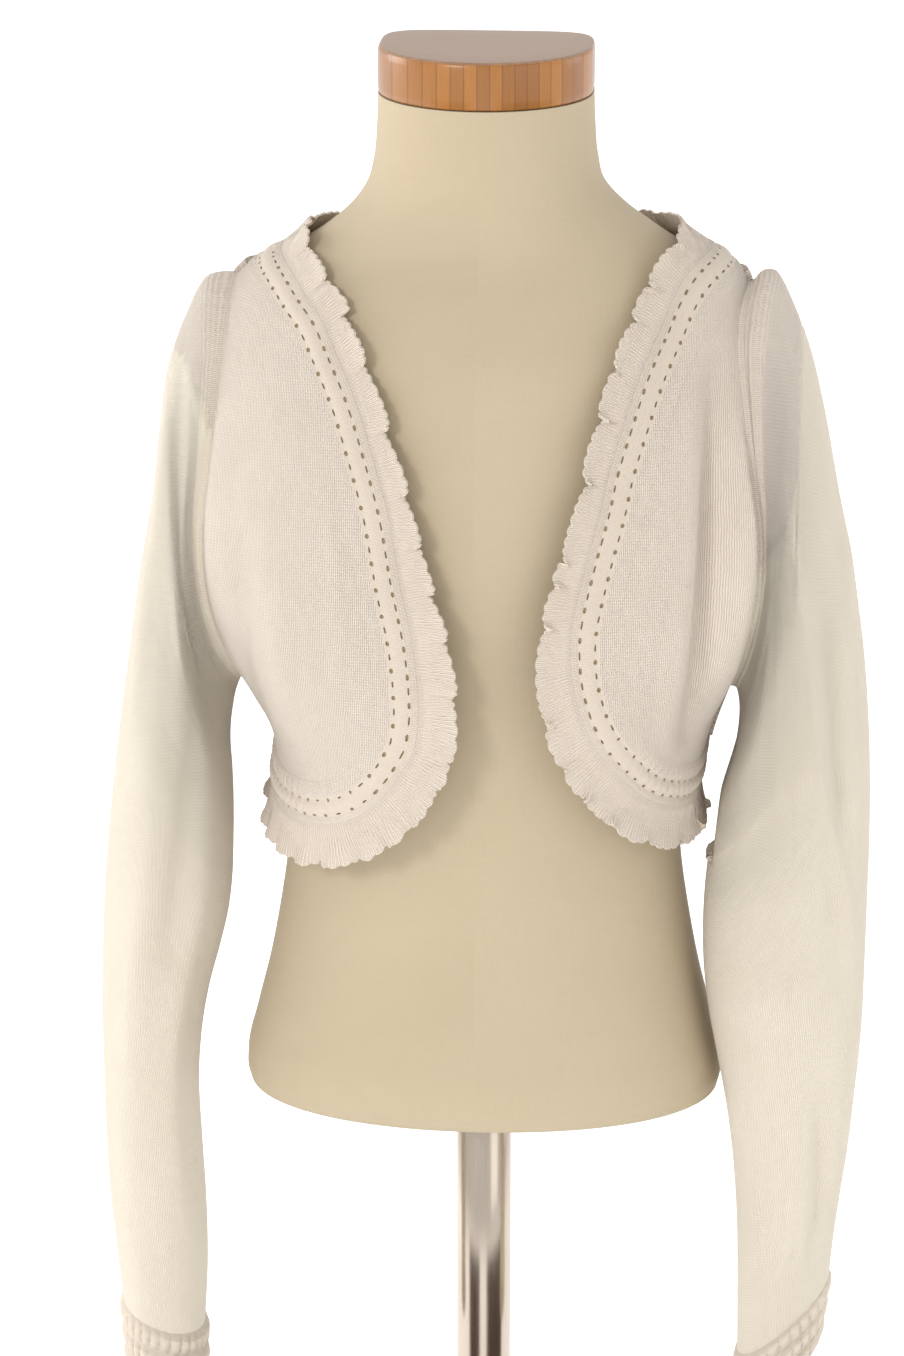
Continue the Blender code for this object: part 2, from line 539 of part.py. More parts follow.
def straight_back(right, left, top, bottom):
    """Fill the back in an unbroken coordinate, 0 at the centre back."""
    def unroll(points):
        return np.column_stack([np.where(points[:, 0] < 0, -2 - points[:, 0], 2 - points[:, 0]), points[:, 1]])
    flat = patch(unroll(right), unroll(left), unroll(top), unroll(bottom), len(right), len(top))
    share = np.where(flat[..., 0] < 0, -2 - flat[..., 0], 2 - flat[..., 0])
    return np.stack([share, flat[..., 1]], -1)


def body_sizes(x, y, z):
    """Half width, depth and power of the body section that a point belongs to."""
    right, left, front, back, power_front, power_back = smooth_table(np.clip(z, BODY[0, 0], BODY[-1, 0]), BODY)
    return (np.where(x < 0, right, left) * MM, np.where(y < 0, front, back) * MM,
            np.where(y < 0, power_front, power_back))


def lift_to_body(points):
    """Move points level in or out to the body surface."""
    x, y, z = points[..., 0], points[..., 1], points[..., 2]
    half, depth, power = body_sizes(x, y, z)
    scale = ((np.abs(x) / half) ** power + (np.abs(y) / depth) ** power) ** (-1 / power)
    return np.stack([x * scale, y * scale, z], -1)


def walk(start, heading, widths):
    """Walk over the body from each start point; returns one grid column a width."""
    columns = [start]
    spot, going, done = start, heading, 0.0
    for width in widths[1:]:
        steps = max(1, int(round((width - done) / WALK_STEP)))
        for __ in range(steps):
            moved = spot + going * (width - done) / steps * MM
            moved = lift_to_body(moved)
            step = moved - spot
            going = step / np.linalg.norm(step, axis=-1, keepdims=True)
            spot = moved
        columns.append(spot)
        done = width
    return np.stack(columns, 1)


def heading_from(points, aim):
    """Direction over the body, square to a seam; aim gives a sign for the middle of the run."""
    along = np.gradient(points, axis=0)
    up = lift_to_body(points + [0, 0, 0.002]) - lift_to_body(points - [0, 0, 0.002])
    level = np.cross([0, 0, 1.0], points)
    normal = np.cross(level, up)
    heading = np.cross(along, normal)
    heading /= np.linalg.norm(heading, axis=-1, keepdims=True)
    middle = len(points) // 2
    return heading * np.sign(np.dot(heading[middle], aim(points[middle])))


def side_row(sign, height, upward, widths):
    """Points up or down the side line of the body, at lengths in mm from a height."""
    heights = height + np.linspace(0, 0.045, 91) * (1 if upward else -1)
    half = smooth_table(heights, BODY)[0 if sign < 0 else 1] * MM
    length = np.r_[0.0, np.cumsum(np.hypot(np.diff(half), np.diff(heights)))]
    at = np.asarray(widths) * MM
    x, z = np.interp(at, length, half), np.interp(at, length, heights)
    return np.column_stack([sign * x, np.zeros(len(at)), z])


def finer(points, parts):
    """Points along straight steps, each step cut into parts."""
    at = np.arange((len(points) - 1) * parts + 1) / parts
    return np.column_stack([np.interp(at, np.arange(len(points)), points[:, k]) for k in range(3)])


def build_trim(name, seam, parts, aim, ends):
    """The raised band beyond a seam; returns what the ruffle needs.

    ends gives for the first and the last row the side of the body, whether
    the row runs up, and the way the row steps back from its neighbour.
    """
    points = finer(seam, parts)
    heading = heading_from(points, aim)
    widths = np.r_[TRIM_PROFILE[:, 0], TRIM_PROFILE[-1, 0] + SEAM * 1.5 / MM]
    grid = walk(points + heading * SEAM * 1.3, heading, widths)
    for place, (sign, upward, step) in zip((0, -1), ends):
        exact = side_row(sign, points[place, 2] + (SEAM if upward else -SEAM), upward, widths)
        exact[:, 1] += step * SEAM / 2
        change = exact - grid[place]
        reach = min(9, len(grid) // 3)
        for k in range(reach):
            row = k if place == 0 else -1 - k
            grid[row] += change * (1 - k / reach) ** 2
    normal = grid_normals(grid)
    normal *= np.sign((normal[..., :2] * grid[..., :2]).sum(-1).mean())
    normal[[0, -1], :, 1] = 0.0
    normal /= np.linalg.norm(normal, axis=-1, keepdims=True)
    band = grid[:, :-1]
    outer = band + normal[:, :-1] * (TRIM_PROFILE[:, 1] * STRIP_RISE)[None, :, None]
    inner = (band - normal[:, :-1] * TRIM_WALL)[:, [0, -1]]
    inner[:, 0] += heading * SEAM * 1.5
    wall_between("band_" + name, outer, inner, TRIM_KNIT)
    away = grid[:, -2] - grid[:, -3]
    away /= np.linalg.norm(away, axis=-1, keepdims=True)
    return grid[:, -1], away, normal[:, -1]


def build_ruffle(name, edge, away, normal):
    """The waved ruffle beyond a band, from its seam to its free edge."""
    length = np.r_[0.0, np.cumsum(np.linalg.norm(np.diff(edge, axis=0), axis=1))]
    waves = max(4, int(round(length[-1] / WAVE_LENGTH)))
    count = waves * RUFFLE_STEPS + 1
    at = np.linspace(0, length[-1], count)
    base, out, up = [np.column_stack([np.interp(at, length, values[:, k]) for k in range(3)])
                     for values in (edge, away, normal)]
    calm = np.clip(np.minimum(at, length[-1] - at) / CALM_LENGTH, 0, 1)
    phase = at / length[-1] * waves
    phase = phase + 0.16 * np.sin(phase * 1.7 + 0.4) * np.sin(math.pi * at / length[-1])
    along = np.gradient(base, axis=0)
    along /= np.linalg.norm(along, axis=-1, keepdims=True)
    stand, wave = [size * MM for size in RUFFLE_LEAN[name]]
    width = smooth_table(at / length[-1], RUFFLE_WIDTH[name])[0] * MM
    columns = []
    for share in (0.0, 0.45, 1.0):
        swing = wave * share**0.8 * np.sin(2 * math.pi * phase) * calm
        lift = (RUFFLE_START + (stand - RUFFLE_START) * calm) * share + swing
        lean = RUFFLE_SWAY * share * np.sin(2 * math.pi * phase + 1.3) * calm
        reach = width * share * (1 + 0.05 * np.sin(2 * math.pi * phase * 0.37 + 1.0) * calm)
        columns.append(base + out * reach[:, None] + up * lift[:, None] + along * lean[:, None])
    grid = np.stack(columns, 1)
    half = grid_normals(grid)
    half[[0, -1], :, 1] = 0.0
    half *= RUFFLE_WALL / 2 / np.linalg.norm(half, axis=-1, keepdims=True)
    wall_between("ruffle_" + name, grid + half, grid - half, TRIM_KNIT)


def sleeve_rings(side):
    """Rings of a sleeve's outer face, from the armhole to the cuff seam."""
    sign = -1 if side == "right" else 1
    table = SLEEVE[side]
    turn = np.linspace(0, 2 * math.pi, SLEEVE_SIDES, endpoint=False)
    middle, half = (ARM_TOP + ARM_BOTTOM) / 2, (ARM_TOP - ARM_BOTTOM) / 2 - ARM_GAP
    z = middle + half * np.cos(turn)
    y = -np.sin(turn) * (np.where(np.sin(turn) > 0, ARM_FRONT, ARM_BACK) - ARM_GAP)
    hole = np.column_stack([body_half(sign, y, z), y, z])
    rings = [hole + [ARM_GAP, 0, 0]]
    for k, (ox, oz, ix, iz, my, depth, power) in enumerate(table):
        outer, inner = np.array([ox * MM, oz]), np.array([ix * MM, iz])
        centre, reach = (outer + inner) / 2, (outer - inner) / 2
        c = np.sign(np.cos(turn)) * np.abs(np.cos(turn)) ** (2 / power)
        s = np.sign(np.sin(turn)) * np.abs(np.sin(turn)) ** (2 / power)
        flat = np.column_stack([centre[0] + reach[0] * c, my * MM - depth * MM * s, centre[1] + reach[1] * c])
        blend = min(1.0, k / 6.0) ** 0.8
        blend = (blend ** (1 - 0.72 * np.clip(np.cos(turn), 0, 1)))[:, None]
        carried = hole + np.array([HEAD_START + HEAD_STEP * k, 0, -HEAD_DROP * max(0, k - 1)])
        carried[:, 0] += HEAD_SWELL * np.abs(np.sin(turn)) * min(1, k / 3)
        carried[:, 2] += HEAD_PUFF[side] * np.clip(np.cos(turn), 0, 1) ** 2 * min(1, k)
        ring = carried * (1 - blend) + flat * blend
        rise = np.zeros(len(turn))
        for a0, k0, a1, k1, wide, amount in CREASES[side]:
            if k0 <= k <= k1:
                along = (k - k0) / (k1 - k0)
                at = math.radians(a0 + (a1 - a0) * along)
                off = np.angle(np.exp(1j * (turn - at)))
                rise += amount * MM * np.exp(-(off / math.radians(wide)) ** 2) * math.sin(math.pi * along) ** 0.6
        away = ring - ring.mean(0)
        ring = ring + away / np.linalg.norm(away, axis=1, keepdims=True) * rise[:, None]
        clear = SLEEVE_CLEAR + SLEEVE_CLEAR_GROWTH * min(1.0, k / 4)
        least = guard_half(sign, ring[:, 1], ring[:, 2]) + clear
        ring[:, 0] = np.maximum(ring[:, 0], least)
        rings.append(ring)
    rings = np.array(rings)
    rings[..., 0] *= sign
    return rings


def body_half(sign, y, z, table=BODY):
    """Half width of the body, or of the form, at a depth and height."""
    low, high = table[0, 0], table[-1, 0]
    right, left, front, back, power_front, power_back = smooth_table(np.clip(z, low, high), table)
    power = np.where(y < 0, power_front, power_back)
    depth = np.where(y < 0, front, back)
    share = np.clip(1 - (np.abs(y / MM) / depth) ** power, 0, 1)
    return (right if sign < 0 else left) * share ** (1 / power) * MM


def guard_half(sign, y, z):
    """Half width that a sleeve keeps outside of, trim and form included."""
    body = body_half(sign, y, z) + TRIM_CLEAR * np.clip((HEM_TOP - z) / HEM_BLEND, 0, 1)
    body = np.where(z < HEM_END, body_half(sign, y, z, FORM), body)
    return np.where(z < FORM_END, 0.0, body)


def build_sleeve(side):
    """One sleeve, as a hollow tube."""
    rings = sleeve_rings(side)
    normal = grid_normals(rings, closed=True)
    middle = rings.mean(1, keepdims=True)
    normal *= np.sign((normal * (rings - middle)).sum(-1, keepdims=True))
    inner = rings - normal * WALL
    kept = sorted({0, 1, 2, 3, len(rings) - 1} | set(range(3, len(rings), 2)))
    tube_between("sleeve_" + side, rings, inner[kept], KNIT)
    return rings[-1], inner[-1]


def build_cuff(side, last, last_inner):
    """One cuff: three puffed rows round the end of a sleeve."""
    sign = -1 if side == "right" else 1
    ox, oz, ix, iz, my, depth, power = CUFF_END[side]
    turn = np.linspace(0, 2 * math.pi, SLEEVE_SIDES, endpoint=False)
    outer, inner = np.array([ox * MM, oz]), np.array([ix * MM, iz])
    centre, reach = (outer + inner) / 2, (outer - inner) / 2
    c = np.sign(np.cos(turn)) * np.abs(np.cos(turn)) ** (2 / power)
    s = np.sign(np.sin(turn)) * np.abs(np.sin(turn)) ** (2 / power)
    end = np.column_stack([sign * (centre[0] + reach[0] * c), my * MM - depth * MM * s, centre[1] + reach[1] * c])
    down = end - last
    down /= np.linalg.norm(down, axis=1, keepdims=True)
    start = last + down * SEAM
    share = CUFF_PROFILE[:, 0][:, None, None]
    grid = start[None] * (1 - share) + end[None] * share
    away = grid - grid.mean(1, keepdims=True)
    away /= np.linalg.norm(away, axis=-1, keepdims=True)
    inner_grid = (grid - away * WALL)[[0, 4, 9]]
    inner_grid[0] = last_inner + down * SEAM
    return tube_between("cuff_" + side, grid + away * CUFF_PROFILE[:, 1][:, None, None] * MM, inner_grid, TRIM_KNIT)


build_stand()
for wearer in ("right", "left"):
    side_sign = -1 if wearer == "right" else 1
    front_seam = build_front(wearer)
    build_cuff(wearer, *build_sleeve(wearer))
    front_ends = ((side_sign, True, -1), (side_sign, False, -1))
    build_ruffle(wearer, *build_trim(wearer, front_seam, 2, lambda p: (-p[0], 0, 0), front_ends))
neck_line, hem_line = build_back()
build_ruffle("neck", *build_trim("neck", neck_line, 2, lambda p: (0, 0, 1), ((-1, True, 1), (1, True, 1))))
build_ruffle("hem", *build_trim("hem", hem_line, 2, lambda p: (0, 0, -1), ((-1, False, 1), (1, False, 1))))
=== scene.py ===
"""Looks of a child's ruffled cardigan on a limbless dress form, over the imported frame.

Metres, +Z up, the front faces -Y.  Right and left are the wearer's, so the right
side lies at -X.  A share runs round the body: 0 at the centre front, 1 at the
side line, 2 at the centre back, and a negative share is the wearer's right.
"""
import logging
import math
from dataclasses import dataclass, field
from enum import Enum
from typing import Optional, Union

import bpy
import numpy as np
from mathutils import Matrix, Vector


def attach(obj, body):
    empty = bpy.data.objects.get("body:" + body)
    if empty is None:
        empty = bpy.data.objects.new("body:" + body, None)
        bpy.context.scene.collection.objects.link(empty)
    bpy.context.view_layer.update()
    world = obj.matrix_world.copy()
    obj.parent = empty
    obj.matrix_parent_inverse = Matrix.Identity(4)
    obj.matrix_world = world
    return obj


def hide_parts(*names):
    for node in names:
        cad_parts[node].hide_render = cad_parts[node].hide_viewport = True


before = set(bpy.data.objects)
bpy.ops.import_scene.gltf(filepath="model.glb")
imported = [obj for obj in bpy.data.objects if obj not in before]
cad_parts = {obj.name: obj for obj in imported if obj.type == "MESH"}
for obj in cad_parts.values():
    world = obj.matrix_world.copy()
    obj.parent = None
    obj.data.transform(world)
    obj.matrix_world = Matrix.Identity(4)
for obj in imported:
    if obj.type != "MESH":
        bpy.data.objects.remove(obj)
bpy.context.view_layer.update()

LOG = logging.getLogger("cardigan")
MM = 0.001
# Metres for one share round the body and for one metre of height, where points are spaced evenly
SHARE_METRES = (0.15, 1.0)

Array = np.ndarray
Triple = tuple[float, float, float]
Colour = Triple
Material = bpy.types.Material
Piece = bpy.types.Object
Socket = bpy.types.NodeSocket
Feed = Union[Socket, float]

# Dress form sections.  Columns: height m, half width right, half width left,
# front depth, back depth, front power, back power (mm)
FORM = np.array([
    (0.3725, 98.0, 98.0, 60.0, 62.0, 2.1, 2.1),
    (0.3750, 104.5, 104.5, 66.0, 69.0, 2.1, 2.1),
    (0.3800, 107.6, 107.6, 69.5, 73.0, 2.1, 2.1),
    (0.3900, 108.3, 108.3, 71.5, 75.0, 2.1, 2.1),
    (0.4120, 103.5, 103.5, 70.5, 74.0, 2.1, 2.1),
    (0.4350, 97.8, 97.8, 68.5, 71.0, 2.1, 2.1),
    (0.4590, 93.2, 93.2, 66.5, 68.0, 2.1, 2.1),
    (0.4850, 89.4, 89.4, 66.0, 65.0, 2.1, 2.1),
    (0.5150, 87.6, 87.6, 66.5, 63.5, 2.1, 2.1),
    (0.5500, 89.0, 89.0, 70.0, 64.0, 2.1, 2.1),
    (0.5900, 96.5, 96.5, 76.0, 67.0, 2.1, 2.1),
    (0.6300, 104.5, 104.5, 80.5, 70.5, 2.1, 2.1),
    (0.6700, 111.0, 111.0, 80.0, 72.5, 2.1, 2.1),
    (0.7050, 115.5, 115.5, 74.5, 71.8, 2.1, 2.1),
    (0.7280, 116.0, 116.0, 67.8, 67.8, 2.1, 2.1),
    (0.7430, 111.8, 111.8, 60.8, 63.2, 2.0, 2.1),
    (0.7550, 101.4, 103.4, 55.0, 58.2, 2.0, 2.1),
    (0.7650, 85.6, 91.4, 50.3, 53.4, 2.0, 2.2),
    (0.7740, 71.4, 77.4, 47.3, 48.9, 2.0, 2.4),
    (0.7840, 59.6, 62.6, 45.9, 43.4, 2.0, 2.8),
    (0.7940, 52.6, 52.6, 45.8, 38.0, 2.0, 3.4),
    (0.8060, 49.0, 49.0, 46.2, 34.5, 2.0, 4.0),
    (0.8200, 47.6, 47.6, 46.6, 33.0, 2.0, 4.6),
    (0.8357, 47.0, 47.0, 46.8, 32.0, 2.0, 5.0),
])

# Cardigan body sections, with the same columns
BODY = np.array([
    (0.470, 97.0, 97.0, 85.0, 75.0, 2.3, 2.3),
    (0.500, 97.0, 97.0, 86.0, 76.0, 2.3, 2.3),
    (0.525, 95.5, 98.0, 87.5, 77.5, 2.3, 2.3),
    (0.545, 94.5, 101.0, 88.5, 78.5, 2.4, 2.3),
    (0.566, 104.0, 108.0, 89.5, 79.0, 2.5, 2.4),
    (0.590, 117.5, 118.5, 90.0, 79.0, 2.6, 2.5),
    (0.620, 127.0, 127.0, 90.0, 79.0, 2.7, 2.6),
    (0.650, 130.0, 130.0, 88.0, 78.0, 2.7, 2.6),
    (0.680, 128.0, 128.0, 84.0, 77.0, 2.6, 2.5),
    (0.710, 124.5, 124.5, 77.5, 74.5, 2.4, 2.4),
    (0.730, 121.0, 121.0, 70.2, 70.2, 2.2, 2.3),
    (0.745, 115.3, 117.3, 63.0, 65.3, 2.1, 2.2),
    (0.757, 105.4, 113.6, 56.6, 59.7, 2.0, 2.2),
    (0.767, 89.4, 102.4, 52.0, 55.0, 2.0, 2.2),
    (0.776, 75.4, 81.4, 49.4, 50.6, 2.0, 2.3),
    (0.786, 65.6, 68.4, 48.6, 46.6, 2.0, 2.5),
    (0.797, 60.0, 60.0, 49.2, 43.4, 2.0, 2.8),
])

# Armhole, an oval seen from the side
ARM_TOP = 0.7530
ARM_BOTTOM = 0.5680
ARM_FRONT = 0.0450
ARM_BACK = 0.0430


class Side(Enum):
    """Side of the garment, the wearer's."""

    RIGHT = "right"
    LEFT = "left"

    @property
    def sign(self) -> int:
        """Return -1 for the wearer's right and 1 for the left."""
        return -1 if self is Side.RIGHT else 1


class Run(Enum):
    """The four runs of trim round the garment's edge."""

    RIGHT = "right"
    LEFT = "left"
    NECK = "neck"
    HEM = "hem"


class Slot(Enum):
    """Material slots of the record."""

    KNIT = "knit"
    TRIM = "trim_knit"
    CLOTH = "form_cloth"
    WOOD = "cap_wood"
    POLE = "brushed_steel"
    BASE = "base_steel"


def smooth_table(at: Array, table: Array) -> list[Array]:
    """Read every value column of a table through a smooth curve.

    Args:
        at: Places to read, in the units of the table's first column.
        table: Rows of a key and its values.

    Returns:
        One array for each value column.
    """
    at = np.asarray(at, float)
    keys = table[:, 0]
    place = np.clip(np.searchsorted(keys, at) - 1, 0, len(keys) - 2)
    step = keys[place + 1] - keys[place]
    share = (at - keys[place]) / step
    out = []
    for values in table[:, 1:].T:
        slope = np.gradient(values, keys)
        out.append((2 * share**3 - 3 * share**2 + 1) * values[place]
                   + (share**3 - 2 * share**2 + share) * step * slope[place]
                   + (3 * share**2 - 2 * share**3) * values[place + 1]
                   + (share**3 - share**2) * step * slope[place + 1])
    return out


def quarter(height: Array, rightward: Array, ahead: Array, table: Array) -> tuple[Array, Array, Array]:
    """Read body sections in the quarters where points lie.

    Args:
        height: Height of each point, held within the table.
        rightward: Whether it lies on the wearer's right.
        ahead: Whether it lies in front.
        table: FORM or BODY.

    Returns:
        The half widths and the depths in mm, and the powers.
    """
    held = np.clip(height, table[0, 0], table[-1, 0])
    right, left, front, back, power_front, power_back = smooth_table(held, table)
    return (np.where(rightward, right, left), np.where(ahead, front, back),
            np.where(ahead, power_front, power_back))


def section(height: Array, turn: Array, table: Array) -> tuple[Array, Array]:
    """Find points of a body section.

    Args:
        height: Height of each point.
        turn: Turn round the body, 0 at the front and pi at the back.
        table: FORM or BODY.

    Returns:
        The x and y of the points.
    """
    sine, cosine = np.sin(turn), np.cos(turn)
    half, depth, power = quarter(height, np.asarray(turn) < 0, cosine >= 0, table)
    x = half * np.sign(sine) * np.abs(sine) ** (2 / power)
    y = -depth * np.sign(cosine) * np.abs(cosine) ** (2 / power)
    return x * MM, y * MM


def half_width(sign: int, y: Array, z: Array, table: Array = BODY) -> Array:
    """Find the half width of a body at a depth and a height.

    Args:
        sign: -1 for the wearer's right side and 1 for the left.
        y: Depth of each point.
        z: Height of each point.
        table: FORM or BODY.

    Returns:
        The half widths in metres.
    """
    half, depth, power = quarter(z, sign < 0, y < 0, table)
    share = np.clip(1 - (np.abs(y / MM) / depth) ** power, 0, 1)
    return half * share ** (1 / power) * MM


def lift_to_body(points: Array) -> Array:
    """Move points level in or out to the outer face of the garment's body.

    Args:
        points: Points near the body.

    Returns:
        The moved points.
    """
    x, y, z = points[..., 0], points[..., 1], points[..., 2]
    half, depth, power = quarter(z, x < 0, y < 0, BODY)
    scale = ((np.abs(x) / (half * MM)) ** power + (np.abs(y) / (depth * MM)) ** power) ** (-1 / power)
    return np.stack([x * scale, y * scale, z], -1)


def unit(vectors: Array) -> Array:
    """Scale vectors to a length of one."""
    return vectors / np.maximum(np.linalg.norm(vectors, axis=-1, keepdims=True), 1e-12)


def lengths_along(points: Array) -> Array:
    """Find the length from the first of a row of points to each point.

    Args:
        points: Points in order.

    Returns:
        One length for each point.
    """
    return np.r_[0.0, np.cumsum(np.linalg.norm(np.diff(points, axis=0), axis=1))]


def resample(points: Array, count: int, scale: tuple[float, ...] = (1.0, 1.0, 1.0)) -> Array:
    """Place points at even lengths along a row of points.

    Args:
        points: Points in order.
        count: How many points to make.
        scale: Weight of each column in the length.

    Returns:
        The even points.
    """
    length = lengths_along(points * np.asarray(scale)[:points.shape[1]])
    at = np.linspace(0, length[-1], count)
    return np.column_stack([np.interp(at, length, column) for column in points.T])


def curve_through(points: Array, count: int) -> Array:
    """Place points along a smooth curve through rows of share and height.

    Args:
        points: Rows of share and height.
        count: How many points to make.

    Returns:
        Points at even lengths.
    """
    length = lengths_along(points * (np.array(SHARE_METRES) / MM))
    at = np.linspace(0, length[-1], count)
    return np.column_stack(smooth_table(at, np.column_stack([length, points])))


def evened(values: Array, width: int) -> Array:
    """Smooth the rows of an array with a moving mean.

    Args:
        values: Rows to smooth.
        width: Odd number of rows in the mean.

    Returns:
        The smoothed rows.
    """
    half = width // 2
    padded = np.concatenate([np.repeat(values[:1], half, 0), values, np.repeat(values[-1:], half, 0)])
    total = np.cumsum(np.concatenate([np.zeros_like(values[:1]), padded]), axis=0)
    return (total[width:] - total[:-width]) / width


def grid_normals(grid: Array, closed: bool = False) -> Array:
    """Find the unit normals of a grid of points.

    Args:
        grid: Rows and columns of points.
        closed: Whether the columns wrap round.

    Returns:
        One normal for each point.
    """
    if closed:
        wide = np.concatenate([grid[:, -1:], grid, grid[:, :1]], 1)
        across = wide[:, 2:] - wide[:, :-2]
    else:
        across = np.gradient(grid, axis=1)
    return unit(np.cross(across, np.gradient(grid, axis=0)))


def between_cells(values: Array, r: Array, c: Array) -> Array:
    """Read a grid between its cells.

    Args:
        values: Rows and columns of numbers or points.
        r: Rows to read, whole or not.
        c: Columns to read.

    Returns:
        The values there.
    """
    r0, c0 = r.astype(int), c.astype(int)
    down, right = r - r0, c - c0
    if values.ndim == 3:
        down, right = down[..., None], right[..., None]
    top = values[r0, c0] * (1 - right) + values[r0, c0 + 1] * right
    bottom = values[r0 + 1, c0] * (1 - right) + values[r0 + 1, c0 + 1] * right
    return top * (1 - down) + bottom * down


def wrapped(grid: Array) -> Array:
    """Return a grid with its first column again at the end."""
    return np.concatenate([grid, grid[:, :1]], 1)


def away_from_axis(vectors: Array, points: Array) -> Array:
    """Return a grid's vectors, turned over if they point in to the upright axis."""
    return vectors * np.sign((vectors[..., :2] * points[..., :2]).sum(-1).mean())


def patch(left: Array, right: Array, top: Array, bottom: Array) -> Array:
    """Fill four edges with a grid.

    Args:
        left: Points down the left edge.
        right: Points down the right edge.
        top: Points along the top, left to right.
        bottom: Points along the bottom, left to right.

    Returns:
        A grid with one row for each point of left.
    """
    s = np.linspace(0, 1, len(top))[None, :, None]
    t = np.linspace(0, 1, len(left))[:, None, None]
    corners = ((1 - s) * (1 - t) * top[0] + s * (1 - t) * top[-1] + (1 - s) * t * bottom[0]
               + s * t * bottom[-1])
    return (1 - s) * left[:, None] + s * right[:, None] + (1 - t) * top[None] + t * bottom[None] - corners


def ring_lengths(rings: Array) -> Array:
    """Measure round a stack of closed rings.

    Args:
        rings: Rings of points.

    Returns:
        The length round each ring to each point, and back to the first one.
    """
    steps = np.linalg.norm(np.diff(wrapped(rings), axis=1), axis=-1)
    return np.concatenate([np.zeros((len(rings), 1)), np.cumsum(steps, axis=1)], 1)


def grid_faces(rows: int, columns: int, closed: bool = False) -> tuple[Array, Array]:
    """List the four-sided faces of a grid.

    Args:
        rows: Rows of points.
        columns: Columns of points.
        closed: Whether the columns wrap round.

    Returns:
        Four vertex numbers and four UV numbers for each face; a closed grid has
        one column more of UVs.
    """
    wide = columns + 1 if closed else columns
    r, c = [a.ravel() for a in np.meshgrid(np.arange(rows - 1), np.arange(wide - 1), indexing="ij")]
    corners = [(r, c), (r, c + 1), (r + 1, c + 1), (r + 1, c)]
    return (np.column_stack([a * columns + b % columns for a, b in corners]),
            np.column_stack([a * wide + b for a, b in corners]))


